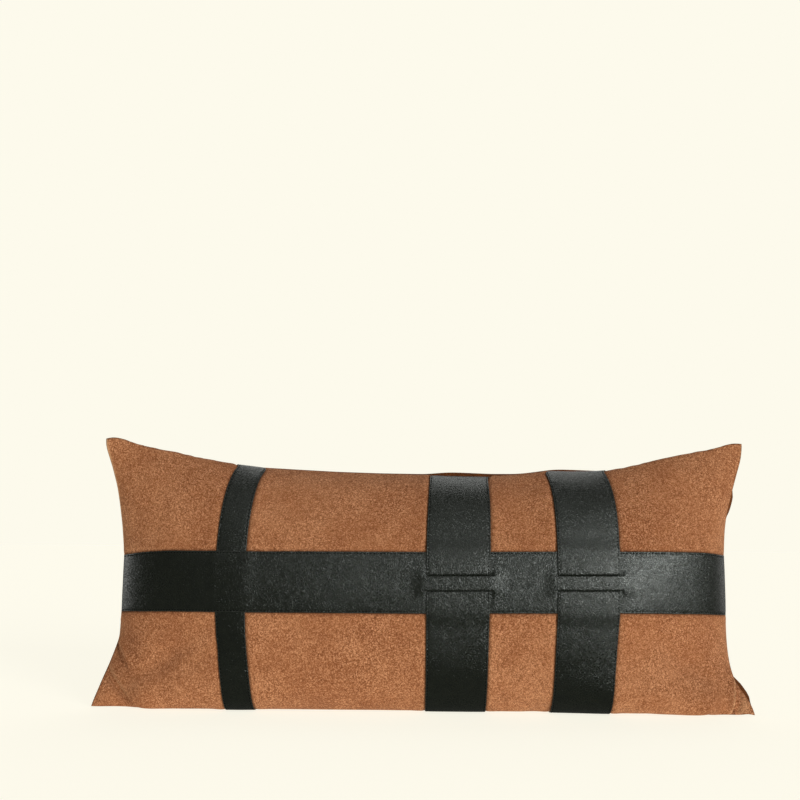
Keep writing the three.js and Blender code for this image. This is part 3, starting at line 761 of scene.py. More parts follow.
def cloth_material(name, colour, rough=0.85, scale=900):
    k = Nodes(name)
    obj = k.coords()
    c = srgb(*colour)
    dark = tuple(x * 0.82 for x in c[:3]) + (1,)
    w1 = k.new("ShaderNodeTexWave", wave_type="BANDS", bands_direction="X")
    w1.inputs["Scale"].default_value = scale / 2
    w2 = k.new("ShaderNodeTexWave", wave_type="BANDS", bands_direction="Z")
    w2.inputs["Scale"].default_value = scale / 2
    k.link(obj, w1.inputs["Vector"])
    k.link(obj, w2.inputs["Vector"])
    weave = k.math("MULTIPLY", w1.outputs["Fac"], w2.outputs["Fac"])
    k.set(Base_Color=k.ramp(weave, [(0.0, dark), (0.6, c)]), Roughness=rough, Specular_IOR_Level=0.25)
    k.set(Normal=k.bump(weave, 0.4, 0.0002))
    return k.m


def metal_material(name):
    k = Nodes(name)
    obj = k.coords()
    f = k.noise(obj, 500, 4)
    k.set(Base_Color=k.ramp(f, [(0.3, srgb(108, 88, 62)), (0.7, srgb(164, 138, 100))]), Metallic=1.0,
          Roughness=k.span(f, 0.3, 0.7, 0.28, 0.45))
    k.set(Normal=k.bump(k.noise(obj, 1800, 3), 0.15, 0.0001))
    return k.m


def nylon_material(name, colour):
    k = Nodes(name)
    obj = k.coords()
    w = k.new("ShaderNodeTexWave", wave_type="BANDS", bands_direction="X")
    w.inputs["Scale"].default_value = 270
    k.link(obj, w.inputs["Vector"])
    c = srgb(*colour)
    dark = tuple(x * 0.4 for x in c[:3]) + (1,)
    k.set(Base_Color=k.ramp(w.outputs["Fac"], [(0.1, dark), (0.6, c)]), Roughness=0.38)
    k.set(Normal=k.bump(w.outputs["Fac"], 0.9, 0.0005))
    return k.m


SUEDE, BACKING, LEATHER = suede_material(), backing_material(), leather_material()
THREAD = thread_material("thread", (6, 6, 5), 0.7)
CASING = cloth_material("insert_casing", (236, 234, 228))
FILL = cloth_material("insert_fill", (244, 243, 240), 0.95, 300)
TAPE = cloth_material("zip_tape", (58, 36, 25))
COIL = nylon_material("zip_coil", (52, 34, 26))
METAL = metal_material("zip_metal")
LABEL = cloth_material("label", (238, 236, 228), 0.6, 1400)

FRONT, BACK = Face(F, -1, LINE), Face(B, 1)
MIDDLE, MIDDLE_L = Face((F + B) / 2, -1), Face((F + B) / 2, -1, LINE)
STRAPS = (NARROW, CENTRE, RIGHTS)


# ---------------------------------------------------------------- cover panels
def fill_lines(marks, lo, hi, step, fine=None):
    """Grid lines from lo to hi: every mark, and steps between marks that lie further apart. fine gives a second
    step and the distance from each end over which it holds."""
    marks = [lo, hi] + [m for m in marks if lo < m < hi]
    if fine is not None:
        marks += [lo + fine[1], hi - fine[1]]
    marks = sorted(set(marks))
    out = []
    for a, b in zip(marks[:-1], marks[1:]):
        near = fine is not None and min(a - lo, hi - b) < fine[1] - 0.1
        n = max(1, int(math.ceil((b - a) / (fine[0] if near else step) - 0.3)))
        out += list(np.linspace(a, b, n + 1)[:-1])
    return np.array(out + [hi])


EDGE = (-1.2, 0.0, 0.7, 1.5, 2.6, 4.2, 6.2, 9.0)
RIM = (1.0, 2.4, 4.4)
u_marks = [-L / 2 + r for r in RIM] + [L / 2 - r for r in RIM]
for st in STRAPS:
    u_marks += [st["x"] + sg * (st["half"] + e) for e in EDGE for sg in (-1, 1)]
v_marks = [-H / 2 + r for r in RIM] + [H / 2 - r for r in RIM]
v_marks += [STRAP_V + sg * (H_HALF + e) for e in EDGE for sg in (-1, 1)]
U_FRONT = fill_lines(u_marks, -L / 2, L / 2, 3.4, (1.9, 56))
V_FRONT = fill_lines(v_marks, -H / 2, H / 2, 3.4, (2.2, 30))


def follow(u0, v):
    """Lines near an upright strap follow its edges."""
    xs = [-L / 2] + [s["x"] + sg * s["half"] for s in STRAPS for sg in (-1, 1)] + [L / 2]
    out = np.empty((len(v), len(u0)))
    for k, vv in enumerate(v):
        at = [-L / 2] + [float(s["c"](vv)) + sg * s["half"] * float(s["k"](vv)) for s in STRAPS for sg in (-1, 1)] + [L / 2]
        out[k] = np.interp(u0, xs, at)
    return out


def strap_distance(u, v):
    d = np.abs(v - STRAP_V) - H_HALF
    for s in STRAPS:
        d = np.minimum(d, np.abs(offset(s, u, v)) - s["half"])
    return d


def seam_pucker(u, v, seed):
    out = np.zeros_like(u)
    for dist, along, sd in ((v + H / 2, u, 1), (H / 2 - v, u, 2), (u + L / 2, v, 3), (L / 2 - u, v, 4)):
        wave = np.sin(along * 2 * math.pi / 15 + 3.5 * noise1(along, seed + sd, 30)) * (0.6 + 0.5 * noise1(along, seed + sd + 9, 24))
        out += 0.42 * wave * np.exp(-((dist / 8.5) ** 2)) * smooth(dist / 2.0)
    return out


def panel(name, face, us, vs, relief, dark, material, edge_out, tuck=1.3, ring=None):
    U = follow(us, vs)
    V = np.repeat(vs[:, None], len(us), 1)
    P, N, pu, pv = face.at(U, V)
    side = face.side
    outer = P + N * (PANEL_HALF + relief(U, V))[..., None]
    inner = P - N * PANEL_HALF
    r, c = U.shape
    out = np.zeros_like(P)
    out[0] -= pv[0]
    out[-1] += pv[-1]
    out[:, 0] -= pu[:, 0]
    out[:, -1] += pu[:, -1]
    out[..., 1] = 0
    rim = np.zeros((r, c), bool)
    rim[0] = rim[-1] = rim[:, 0] = rim[:, -1] = True
    middle = (MIDDLE_L if face.laid is not None else MIDDLE).at(U, V)[0][..., 1]
    outer[..., 1] = side * np.maximum(side * outer[..., 1], side * middle + 1.1)
    inner[..., 1] = side * np.maximum(side * inner[..., 1], side * middle + 0.25)
    out /= np.maximum(np.linalg.norm(out, axis=-1, keepdims=True), 1e-9)
    y = np.array([0, side, 0.0])
    outer[rim] = P[rim] + y * 0.8 + out[rim] * edge_out(U, V)[rim][:, None]
    # one more ring turns into the seam
    pad = np.zeros((r + 2, c + 2, 3))
    pad[1:-1, 1:-1] = outer
    tucked = P + y * 0.12 - out * tuck
    pad[0, 1:-1], pad[-1, 1:-1], pad[1:-1, 0], pad[1:-1, -1] = tucked[0], tucked[-1], tucked[:, 0], tucked[:, -1]
    for a, b in ((0, 0), (0, -1), (-1, 0), (-1, -1)):
        pad[a, b] = tucked[a, b]
    inn = np.array(inner)
    keep = tucked
    for a in (0, -1):
        inn[a] = keep[a] * 0.5 + inn[a] * 0.5 - out[a] * 0.8
        inn[:, a] = keep[:, a] * 0.5 + inn[:, a] * 0.5 - out[:, a] * 0.8
    ids = np.arange((r + 2) * (c + 2)).reshape(r + 2, c + 2)
    base = ids.size
    ids_in = ids.copy()
    ids_in[1:-1, 1:-1] = base + np.arange(r * c).reshape(r, c)
    verts = np.concatenate([pad.reshape(-1, 3), inn.reshape(-1, 3)])
    faces = grid_faces(ids, side > 0) + grid_faces(ids_in, side < 0)
    uv = np.zeros((r + 2, c + 2, 2))
    uv[1:-1, 1:-1] = uv_of(U, V)
    uv[0], uv[-1] = uv[1], uv[-2]
    uv[:, 0], uv[:, -1] = uv[:, 1], uv[:, -2]
    # The mask paints light on the panel: 1 is painted shade and -1 painted highlight; the ring that turns into the
    # seam gets painted shade unless ring says otherwise.
    mk = np.ones((r + 2, c + 2))
    if ring is not None:
        mk[1:-1, 0] = ring(U[:, 0], V[:, 0])
    mk[1:-1, 1:-1] = dark(U, V)
    verts = ground(verts)
    return mesh_object(name, verts, faces, material, np.concatenate([uv.reshape(-1, 2), uv_of(U, V).reshape(-1, 2)]),
                       np.concatenate([mk.ravel(), np.zeros(r * c)]))


us_n, vs_n = np.meshgrid(np.linspace(-350, 350, 281), np.linspace(-150, 150, 121))
P_n = FRONT.at(us_n, vs_n)[0]


def where(x, z):
    """The place on the front pattern that ended up at x, z."""
    d = (P_n[..., 0] - x) ** 2 + (P_n[..., 2] - z) ** 2
    k = np.unravel_index(np.argmin(d), d.shape)
    return float(us_n[k]), float(vs_n[k])


def crease(u, v, a, b, up, down, w_up, w_down, edge=0.8, fade=(0.12, 0.12)):
    """A fold line on the pattern from a to b: the left of it stands up and the right of it sinks."""
    a, b = np.array(a, float), np.array(b, float)
    t_dir = b - a
    n = np.linalg.norm(t_dir)
    t_dir /= n
    t = ((u - a[0]) * t_dir[0] + (v - a[1]) * t_dir[1]) / n
    sd = (u - a[0]) * t_dir[1] - (v - a[1]) * t_dir[0]
    k = smooth((sd + edge) / (2 * edge))
    along = np.ones_like(t)
    if fade[0] > 0:
        along = along * smooth((t + fade[0]) / fade[0])
    along = along * smooth((1 + fade[1] - t) / fade[1])
    return along * (up * np.exp(-((sd / w_up) ** 2)) * (1 - k) - down * np.exp(-((sd / w_down) ** 2)) * k)


def dent(u, v, at, size, depth, turn=0.0):
    c, q = math.cos(math.radians(turn)), math.sin(math.radians(turn))
    x, y = u - at[0], v - at[1]
    return -depth * np.exp(-(((x * c + y * q) / size[0]) ** 2) - (((y * c - x * q) / size[1]) ** 2))


EAR_R = ((352.0, -86.0), (325.0, -153.0))
EAR_L = (where(-307, 50), (-356.0, where(-320, 72)[1] + 2))
RIDGE_L = ((-356.0, where(-330, 46)[1]), where(-300, 10))
TRI = where(121, 5)


def folds(u, v):
    """The creases where the stuffing stops short of the lower corners, and soft dents."""
    near = np.minimum(L / 2 - np.abs(u), H / 2 - np.abs(v))
    out = crease(u, v, EAR_R[1], EAR_R[0], 3.4, 4.5, 9, 5.0, 1.1, (0.04, 0.04)) * smooth(near / 6)
    out = out + crease(u, v, EAR_L[1], EAR_L[0], 3.2, 4.0, 9, 6, 1.0, (0.04, 0.35)) * smooth(near / 9)
    out = out + crease(u, v, RIDGE_L[0], RIDGE_L[1], 1.5, 2.0, 7, 9, 3.0, (0.1, 0.3)) * smooth(near / 5 + 0.1)
    out = out + dent(u, v, TRI, (13, 7), 3.6, 20)
    out = out + dent(u, v, where(-262, 246), (16, 7), 1.8, -60) + dent(u, v, where(-290, 190), (26, 20), 2.2, 30)
    out = out + dent(u, v, where(270, 215), (34, 22), 1.8, -20) + dent(u, v, where(-262, 60), (22, 16), 1.4, 40)
    out = out + dent(u, v, where(262, 60), (26, 18), 1.5, -35) + dent(u, v, where(110, 232), (16, 10), 1.4, 0)
    return out


def front_relief(u, v):
    d = strap_distance(u, v)
    along = u + 0.7 * v
    lift = 0.62 + 0.3 * noise1(along, 5, 22)
    bulge = lift * (1 - np.exp(-((d / 2.2) ** 2))) * np.exp(-(((d - 5.0) / 6.5) ** 2))
    edge = -0.45 * np.exp(-((np.maximum(d, 0) / 1.3) ** 2))
    out = np.where(d < 0, -0.3, edge + bulge)
    near = np.minimum(np.minimum(v + H / 2, H / 2 - v), np.minimum(u + L / 2, L / 2 - u))
    return out * smooth(near / 3.0 + 0.2) + np.where(d < 1, 0, seam_pucker(u, v, 20)) + folds(u, v) * smooth((d + 0.5) / 4)


def line_side(u, v, a, b, side=0.0, width=2.0):
    """A soft band along the line from a to b, side millimetres to its right."""
    a, b = np.array(a, float), np.array(b, float)
    t_dir = b - a
    n = np.linalg.norm(t_dir)
    t_dir /= n
    t = ((u - a[0]) * t_dir[0] + (v - a[1]) * t_dir[1]) / n
    sd = (u - a[0]) * t_dir[1] - (v - a[1]) * t_dir[0]
    return np.exp(-(((sd - side) / width) ** 2)) * smooth(t / 0.1 + 0.2) * smooth((1.05 - t) / 0.2)


# Painted light on the front's suede, carried in its mask: painted shade beside the straps' edges, along the seams, in
# the ear creases and in the dent at the right strap's foot; painted highlight along the left seam and beside the
# creases.
def front_painted_light(u, v):
    d = np.maximum(strap_distance(u, v), 0)
    near = np.minimum(np.minimum(v + H / 2, H / 2 - v), np.minimum(u + L / 2, L / 2 - u))
    # A pale band along the left seam: painted highlight.
    left = np.exp(-(((u + L / 2) / 1.6) ** 2)) * smooth((v + 40) / 60)
    right, left_ear, ridge = (EAR_R[1], EAR_R[0]), (EAR_L[1], EAR_L[0]), RIDGE_L
    # Painted shadow lines under the creases' lips, and painted highlight on their lit sides.
    fold = 0.75 * line_side(u, v, *right, 1.9, 1.5) - 0.42 * line_side(u, v, *right, -1.3, 1.7)
    fold = fold - 0.28 * line_side(u, v, *right, 10.0, 6.5)
    fold = fold + 0.85 * line_side(u, v, *left_ear, 3.4, 3.4) - 0.3 * line_side(u, v, *left_ear, -1.6, 1.8)
    fold = fold - 0.3 * line_side(u, v, *ridge, -1.5, 2.6) + 0.32 * line_side(u, v, *ridge, 6.5, 5.0)
    # Painted shade in the dent.
    tri = -dent(u, v, TRI, (13, 6), 0.75, 20)
    # Painted shade along the seams.
    rim = 0.3 * np.exp(-((near / 1.2) ** 2)) * (1 - left)
    return np.clip(0.65 * np.exp(-((d / 1.3) ** 2)) + rim + fold + tri, -0.6, 1) - 0.9 * left


def top_dips(u):
    return np.exp(-(((u - 50) / 36) ** 4)) + 0.8 * np.exp(-(((u - 168) / 38) ** 4))


# On the front, the turn into the seam gets a painted highlight along the upper left and painted shade elsewhere.
front = panel("front_cover", FRONT, U_FRONT, V_FRONT, front_relief, front_painted_light, SUEDE,
              lambda u, v: 0.35 - 2.4 * top_dips(u) * (v > 0), ring=lambda u, v: np.where((u < 0) & (v > -30), -1.0, 1.0))
U_BACK = fill_lines([-L / 2 + r for r in RIM] + [L / 2 - r for r in RIM], -L / 2, L / 2, 4.5)
V_BACK = fill_lines([-H / 2 + r for r in RIM] + [H / 2 - r for r in RIM], -H / 2, H / 2, 4.5)


def back_edge(u, v):
    """The back's edge stands a little proud of the face's along the top, and at two places on the right."""
    top = smooth((v - 120) / 25) * np.clip((336 - np.abs(u)) / 14, 0, 1)
    more = 3.4 * np.exp(-(((u - 50) / 40) ** 4)) + 3.2 * np.exp(-(((u - 170) / 44) ** 4)) + 0.6 * np.exp(-(((u + 270) / 50) ** 2))
    right = smooth((u - 340) / 8)
    z = v * 280 / 300 + 140
    side = 3.2 * np.exp(-(((z - 214) / 13) ** 4)) + 3.8 * np.exp(-(((z - 24) / 11) ** 4))
    return 0.35 + (1.0 + 0.3 * noise1(u, 8, 45) + more) * top + side * right


# On the back, painted shade along the seams.
back = panel("back_cover", BACK, U_BACK, V_BACK, lambda u, v: seam_pucker(u, v, 60) * 1.1,
             lambda u, v: 0.15 * np.exp(-((np.minimum(np.minimum(v + H / 2, H / 2 - v), np.minimum(u + L / 2, L / 2 - u)) / 2.0) ** 2)),
             BACKING, back_edge)
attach(front, "cover")
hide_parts("front_panel")
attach(back, "cover")
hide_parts("back_panel")


# ---------------------------------------------------------------- upright straps
def both_edges(h):
    e = across(h)
    d = np.array([x for x, _ in e])
    t = np.array([y for _, y in e])
    w = np.r_[-h + d, 0, (h - d)[::-1]]
    top = np.r_[t, t[-1], t[::-1]]
    keep = np.r_[True, np.diff(w) > 0.05]
    return w[keep], top[keep]


# Painted highlight on a strap's rounded lip at its edge and, weaker, in its stitch groove.
def painted_edge_highlight(dist):
    return np.exp(-(((dist - 0.8) / 0.6) ** 2)) + 0.5 * np.exp(-(((dist - 1.9) / 0.7) ** 2))


def tuck_in(v):
    """Straps run into the seams, so their ends sink."""
    return -(PANEL_HALF + 2.0) * (smooth((v - 145.2) / 3.4) + smooth((-v - 146.2) / 3.6))


def upright_strap(name, s, lift):
    w, top = both_edges(s["half"])
    marks = [STRAP_V + x for x in (-H_HALF - 5, -H_HALF - 2.5, -H_HALF, H_HALF, H_HALF + 2.5, H_HALF + 5,
                                   SLIT_UP - 0.4, SLIT_UP + 0.3, SLIT_UP + 1.0, SLIT_UP + 1.9, SLIT_UP + 3.2, SLIT_LOW + 0.4,
                                   SLIT_LOW - 0.3, SLIT_LOW - 1.0, SLIT_LOW - 1.9, SLIT_LOW - 3.2)] + [146, 147, 148.2, -147, -148.2]
    vs = fill_lines(marks, -149.6, 148.6, 3.2)
    W = np.repeat(w[None], len(vs), 0)
    V = np.repeat(vs[:, None], len(w), 1)
    U = s["c"](V) + W * s["k"](V)
    P, N, pu, pv = FRONT.at(U, V)
    base = lift(V, s, U) + PANEL_HALF + tuck_in(V)
    dist = s["half"] - np.abs(W)
    bottom = base + 0.42 * T * np.exp(-((dist / 0.35) ** 2))
    Pt, Pb = P + N * (base + top[None])[..., None], P + N * bottom[..., None]
    return closed_strip(name, LEATHER, ground(Pt), ground(Pb), uv_of(U, V), painted_edge_highlight(dist))


def flat_lift(v, s, u):
    return np.full_like(v, LIE)


straps = {}
straps["left_narrow_strap"] = upright_strap("narrow_strap_leather", NARROW, flat_lift)
straps["centre_wide_strap"] = upright_strap("centre_strap_leather", CENTRE, woven_lift)
straps["right_wide_strap"] = upright_strap("right_strap_leather", RIGHTS, woven_lift)


# ---------------------------------------------------------------- horizontal strap with its slits
def horizontal_strap():
    marks = []
    for s in (CENTRE, RIGHTS):
        x, h = s["x"], s["half"]
        marks += [x - h + k for k in (-8, -6, -4.4, -3.0, -2.2, -1.4, -0.7, 0, 0.8, 2.5)]
        marks += [x + h + k for k in (-2.5, -1.0, 0, 0.8, 1.6, 2.6, 3.7, SLIT_PAST, 6.2, 7.6)]
    marks += [NARROW["x"] + sg * (NARROW["half"] + k) for k in (0, 0.6, 2, 3.5, 5) for sg in (-1, 1)] + [347.8, -347.8]
    us = fill_lines(marks, -349.2, 349.2, 3.4)
    e = [x for x, _ in across(H_HALF)]
    low = [-H_HALF + x for x in e if -H_HALF + x < SLIT_LOW - 2.4] + [SLIT_LOW - 1.2, SLIT_LOW - 0.35, SLIT_LOW]
    band = [SLIT_LOW, SLIT_LOW + 0.35, SLIT_LOW + 1.2, SLIT_LOW + 2.4, -2.8, 0.2, 3.0, SLIT_UP - 1.4, SLIT_UP - 0.35, SLIT_UP]
    high = [SLIT_UP, SLIT_UP + 0.35, SLIT_UP + 1.2] + sorted(H_HALF - x for x in e if H_HALF - x > SLIT_UP + 2.4)
    rows = [(-1, d) for d in low] + [(0, d) for d in band] + [(1, d) for d in high]
    inside = np.zeros_like(us)
    open_ = np.zeros(len(us), bool)
    for s in (CENTRE, RIGHTS):
        x = (us - s["x"]) / s["kx"]
        inside = np.maximum(inside, ramp(x, -s["half"] + 0.2, -s["half"] + 2.4) * ramp(-x, -s["half"] - 0.4, -s["half"] + 2.4))
        open_ |= (x > -s["half"] - 0.75) & (x < s["half"] + SLIT_PAST - 0.05)
    top, bottom, U_all, V_all, mk = [], [], [], [], []
    for part, d in rows:
        dd = np.full_like(us, d)
        if part == 1:
            dd = H_HALF - (H_HALF - d) * (1 - inside * (4.6 / (H_HALF - SLIT_UP)))
        if part == -1:
            dd = -H_HALF + (H_HALF + d) * (1 - inside * (4.2 / (H_HALF + SLIT_LOW)))
        v = STRAP_V + dd
        P, N, pu, pv = FRONT.at(us, v)
        dist = H_HALF - np.abs(dd)
        lip = min(abs(d - SLIT_UP), abs(d - SLIT_LOW))
        near_open = np.zeros_like(us)
        for s in (CENTRE, RIGHTS):
            x = (us - s["x"]) / s["kx"]
            near_open = np.maximum(near_open, ((x > -s["half"] - 0.75) & (x < s["half"] + SLIT_PAST - 0.05)).astype(float))
        ends = -(PANEL_HALF + 1.7) * smooth((np.abs(us) - 346.0) / 3.2)
        base = horizontal_lift(us, dd, part) + PANEL_HALF + ends
        h = top_profile(dist) - 0.3 * math.exp(-((lip / 0.3) ** 2)) * near_open
        top.append(P + N * (base + h)[:, None])
        bottom.append(P + N * (base + 0.42 * T * np.exp(-((dist / 0.35) ** 2)))[:, None])
        U_all.append(us)
        V_all.append(v)
        # Painted highlight on the slits' lips, strongest on the band's lower lip.
        lit = 0.9 if part == 0 and d < 0 else 0.15
        mk.append(painted_edge_highlight(dist) + lit * math.exp(-((lip / 0.7) ** 2)) * near_open)
    top, bottom = ground(np.array(top)), ground(np.array(bottom))
    r, c = len(rows), len(us)
    ids = np.arange(r * c).reshape(r, c)
    lips = [len(low) - 1, len(low) + len(band) - 1]
    # outside the slits the two lips are one row
    alias = np.arange(r * c)
    for k in lips:
        for i in range(c):
            if not open_[i]:
                alias[ids[k + 1, i]] = ids[k, i]
    faces = []
    off = r * c

    def add(q, low_side=False):
        q = [int(alias[x % off] + (off if x >= off else 0)) for x in q]
        if len(set(q)) == 4:
            faces.append(tuple(q))
        elif len(set(q)) == 3:
            t = []
            for x in q:
                if x not in t:
                    t.append(x)
            faces.append(tuple(t))

    for j in range(r - 1):
        if j in lips:
            continue
        for i in range(c - 1):
            a, b, cc, d = ids[j, i], ids[j, i + 1], ids[j + 1, i + 1], ids[j + 1, i]
            add((a, b, cc, d))
            add((a + off, d + off, cc + off, b + off))
    for i in range(c - 1):
        a, b = ids[0, i], ids[0, i + 1]
        add((b, a, a + off, b + off))
        a, b = ids[-1, i], ids[-1, i + 1]
        add((a, b, b + off, a + off))
        if open_[i] or open_[i + 1]:
            for k in lips:
                a, b = ids[k, i], ids[k, i + 1]
                add((a, b, b + off, a + off))
                a, b = ids[k + 1, i], ids[k + 1, i + 1]
                add((b, a, a + off, b + off))
    for j in range(r - 1):
        if j in lips:
            continue
        a, b = ids[j, 0], ids[j + 1, 0]
        add((a, b, b + off, a + off))
        a, b = ids[j, -1], ids[j + 1, -1]
        add((b, a, a + off, b + off))
    verts = np.concatenate([top.reshape(-1, 3), bottom.reshape(-1, 3)])
    used = sorted({k for f in faces for k in f})
    new = {k: n for n, k in enumerate(used)}
    faces = [tuple(new[k] for k in f) for f in faces]
    uv = np.concatenate([uv_of(np.array(U_all), np.array(V_all)).reshape(-1, 2)] * 2)[used]
    mk = np.concatenate([np.array(mk).ravel()] * 2)[used]
    return mesh_object("horizontal_strap_leather", verts[used], faces, LEATHER, uv, mk)


straps["horizontal_strap"] = horizontal_strap()
for node, ob in straps.items():
    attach(ob, "cover")
    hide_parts(node)


# ---------------------------------------------------------------- topstitching
PITCH, STITCH, INSET = 3.5, 2.5, 1.9


def stitch_row(name, node, place, spans):
    """place(t) gives points on the strap's surface and normals along the row."""
    verts, faces = [], []
    rings, sides = 5, 6
    prof = [(-1.0, 0.25, -0.30), (-0.72, 0.85, -0.02), (0.0, 1.0, 0.06), (0.72, 0.85, -0.02), (1.0, 0.25, -0.30)]
    for lo, hi in spans:
        n = int((hi - lo) / PITCH)
        t = lo + (np.arange(n) + 0.5) * PITCH
        a, na = place(t - STITCH / 2)
        b, nb = place(t + STITCH / 2)
        for k in range(n):
            axis = (b[k] - a[k]) / 2
            nn = na[k] + nb[k]
            ax = axis / np.linalg.norm(axis)
            nn = nn - ax * (nn @ ax)
            nn /= np.linalg.norm(nn)
            bi = np.cross(ax, nn)
            mid_ = (a[k] + b[k]) / 2
            tilt = 0.10 * math.sin(k * 2.3)
            base = len(verts)
            for (x, r, z) in prof:
                for q in range(sides):
                    ang = 2 * math.pi * q / sides
                    verts.append(mid_ + axis * x + bi * (0.46 * r * math.cos(ang) + tilt * x * 0.6)
                                 + nn * (0.28 * r * math.sin(ang) + z + 0.1))
            for ring_ in range(rings - 1):
                for q in range(sides):
                    p0 = base + ring_ * sides + q
                    p1 = base + ring_ * sides + (q + 1) % sides
                    faces.append((p0, p1, p1 + sides, p0 + sides))
            faces.append(tuple(base + q for q in range(sides))[::-1])
            faces.append(tuple(base + (rings - 1) * sides + q for q in range(sides)))
    ob = mesh_object(name, ground(np.array(verts)), faces, THREAD)
    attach(ob, "cover")
    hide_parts(node)
    return ob


GROOVE = float(top_profile(INSET))
for node, side in (("stitch_horizontal_top", 1), ("stitch_horizontal_bottom", -1)):
    d0 = side * (H_HALF - INSET)

    def place(t, d0=d0, side=side):
        v = np.full_like(t, STRAP_V + d0)
        P, N, _, _ = FRONT.at(t, v)
        return P + N * (horizontal_lift(t, np.full_like(t, d0), side) + PANEL_HALF + GROOVE)[:, None], N

    xs = [-345.0]
    for s in (CENTRE, RIGHTS):
        xs += [s["x"] - s["half"] - 0.8, s["x"] + s["half"] + 0.8]
    xs.append(345.0)
    stitch_row(node + "_thread", node, place, [(xs[0], xs[1]), (xs[2], xs[3]), (xs[4], xs[5])])
for node, s, lift in (("stitch_narrow", NARROW, flat_lift), ("stitch_centre", CENTRE, woven_lift), ("stitch_right", RIGHTS, woven_lift)):
    for word, side in (("left", -1), ("right", 1)):
        w0 = side * (s["half"] - INSET)

        def place(t, w0=w0, s=s, lift=lift):
            u = s["c"](t) + w0 * s["k"](t)
            P, N, _, _ = FRONT.at(u, t)
            return P + N * (lift(t, s, u) + PANEL_HALF + GROOVE + tuck_in(t))[:, None], N

        if s is NARROW:
            spans = [(-146.0, STRAP_V - H_HALF - 1.0), (STRAP_V + H_HALF + 1.0, 146.5)]
        else:
            spans = [(-146.0, STRAP_V + SLIT_LOW - 1.2), (STRAP_V + SLIT_UP + 1.4, 146.5)]
        stitch_row(f"{node}_{word}_thread", f"{node}_{word}", place, spans)


# ---------------------------------------------------------------- insert and label, inside the cover
def insert_sheets(u, v, slack):
    """The insert's two skins, slack inside the cover, and clear of the zip below."""
    U, V = np.meshgrid(u, v)
    p, q = Face(F, -1).at(U, V)[0], Face(B, 1).at(U, V)[0]
    middle, half_y = (p + q) / 2, (q - p)[..., 1] / 2
    rim = np.minimum.outer(np.minimum(v - v[0], v[-1] - v), np.full(len(u), 1e3))
    rim = np.minimum(rim, np.minimum(u - u[0], u[-1] - u)[None])
    half_y = np.clip(half_y * 0.93 - slack, 0.3, 0.3 + 14 * np.sqrt(rim / 12))
    out = []
    for side in (-1, 1):
        g = middle.copy()
        g[..., 1] = g[..., 1] * np.exp(-((np.minimum(g[..., 2], 0)) ** 2)) + side * half_y
        g[..., 2] += 10.5 * np.exp(-((g[..., 2] / 22) ** 2))
        out.append(g)
    return U, V, out


us_i, vs_i = np.linspace(-312, 312, 79), np.linspace(-134, 134, 37)
U_i, V_i, (front_i, back_i) = insert_sheets(us_i, vs_i, 2.6)
pucker = seam_pucker(U_i * L / 624, V_i * H / 268, 90)[..., None] * np.array([0, 1.0, 0])
for name, node, g, side in (("casing_front", "insert_casing_front", front_i, -1), ("casing_back", "insert_casing_back", back_i, 1)):
    inner = g.copy()
    inner[..., 1] -= side * 0.25
    g = g + pucker * side * 0.5 * (np.abs(V_i)[..., None] < 133) * (np.abs(U_i)[..., None] < 311)
    ob = closed_strip(name, CASING, g, inner, uv_of(U_i, V_i), np.zeros_like(U_i), flip=side > 0)
    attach(ob, "cover")
    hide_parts(node)
UF, VF, (ff, bf) = insert_sheets(np.linspace(-300, 300, 61), np.linspace(-122, 122, 27), 4.2)
fill = closed_strip("fill", FILL, ff, bf, uv_of(UF, VF), np.zeros_like(UF))
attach(fill, "cover")
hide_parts("insert_fill")
UL, VL = np.meshgrid(np.linspace(-232, -202, 13), np.linspace(-114, -72, 17))
PL, NL, _, _ = BACK.at(UL, VL)
label = closed_strip("care_label_cloth", LABEL, PL - NL * 1.3, PL - NL * 1.6, uv_of(UL, VL), np.zeros_like(UL), flip=True)
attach(label, "cover")
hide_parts("care_label")

# ---------------------------------------------------------------- zip, from the frame
for node, mat in (("zip_tape_front", TAPE), ("zip_tape_back", TAPE), ("zip_coil_front", COIL), ("zip_coil_back", COIL),
                  ("zip_slider", METAL), ("zip_pull_tab", METAL), ("zip_top_stop", METAL), ("zip_bottom_stop", METAL)):
    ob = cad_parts[node]
    ob.data.materials.clear()
    ob.data.materials.append(mat)

# ---------------------------------------------------------------- floor, backdrop and light
CREAM = srgb(253, 250, 236)


def plain_material(name, colour, emission=0.0, rough=0.9):
    k = Nodes(name)
    k.set(Base_Color=colour, Roughness=rough, Specular_IOR_Level=0.0)
    if emission:
        k.b.inputs["Emission Color"].default_value = colour
        k.b.inputs["Emission Strength"].default_value = emission
        k.b.inputs["Base Color"].default_value = (0, 0, 0, 1)
    return k.m


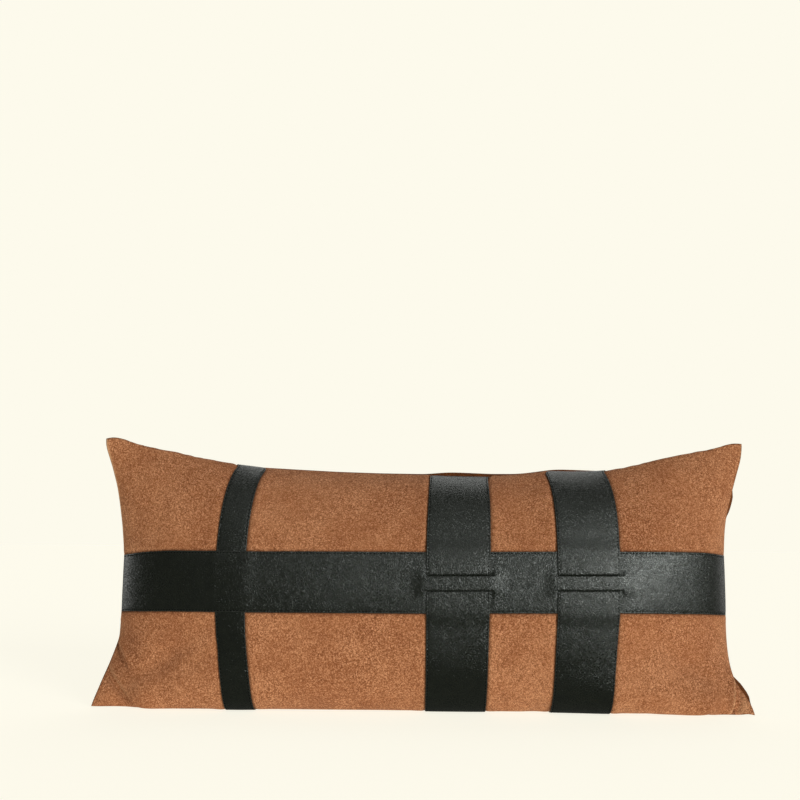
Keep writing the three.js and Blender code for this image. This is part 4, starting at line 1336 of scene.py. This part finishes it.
me = bpy.data.meshes.new("floor")
me.from_pydata([(-30, -30, 0), (30, -30, 0), (30, 30, 0), (-30, 30, 0)], [], [(0, 1, 2, 3)])
k = Nodes("floor")
FLOOR_WHITE, FLOOR_GLOW = 0.34, 0.865
k.set(Base_Color=tuple(c * FLOOR_WHITE for c in CREAM[:3]) + (1,), Roughness=0.95, Specular_IOR_Level=0.0)
k.b.inputs["Emission Color"].default_value = CREAM
k.b.inputs["Emission Strength"].default_value = FLOOR_GLOW
me.materials.append(k.m)
floor = bpy.data.objects.new("floor", me)
scene.collection.objects.link(floor)
floor.visible_glossy = False
seg = 96
verts = []
for z in (-2.0, 14.0):
    for k in range(seg):
        a = 2 * math.pi * k / seg
        verts.append((29 * math.cos(a), 29 * math.sin(a), z))
verts.append((0, 0, 14.0))
faces = [(k, (k + 1) % seg, seg + (k + 1) % seg, seg + k) for k in range(seg)]
faces += [(seg + k, seg + (k + 1) % seg, 2 * seg) for k in range(seg)]
me = bpy.data.meshes.new("backdrop")
me.from_pydata(verts, [], faces)
me.materials.append(plain_material("backdrop", CREAM, 1.0))
dome = bpy.data.objects.new("backdrop", me)
scene.collection.objects.link(dome)
for flag in ("visible_diffuse", "visible_glossy", "visible_transmission", "visible_shadow", "visible_volume_scatter"):
    setattr(dome, flag, False)

world = bpy.data.worlds.new("world")
scene.world = world
world.use_nodes = True
wb = world.node_tree.nodes["Background"]
wb.inputs[0].default_value = (1.0, 0.985, 0.95, 1)
wb.inputs[1].default_value = 0.09


def sun(name, azimuth, elevation, strength, angle, colour=(1.0, 0.99, 0.97)):
    """A soft light. Azimuth 0 comes from the front, 90 from the right."""
    d = bpy.data.lights.new(name, "SUN")
    d.energy = strength
    d.angle = math.radians(angle)
    d.color = colour
    o = bpy.data.objects.new(name, d)
    scene.collection.objects.link(o)
    a, e = math.radians(azimuth), math.radians(elevation)
    v = Vector((math.sin(a) * math.cos(e), -math.cos(a) * math.cos(e), math.sin(e)))
    o.rotation_euler = v.to_track_quat("Z", "Y").to_euler()
    return o


sun("window", 37, 11, 1.6, 20)
sun("window_high", 10, 46, 0.24, 40)
sun("top", 176, 66, 0.3, 26)
sun("rim_left", -122, 6, 0.27, 28)
sun("rim_right", 126, 4, 0.14, 28)
sun("rear", 165, 28, 0.5, 60)
scene.view_settings.view_transform = "Standard"
scene.view_settings.look = "None"
scene.view_settings.exposure = 0.0
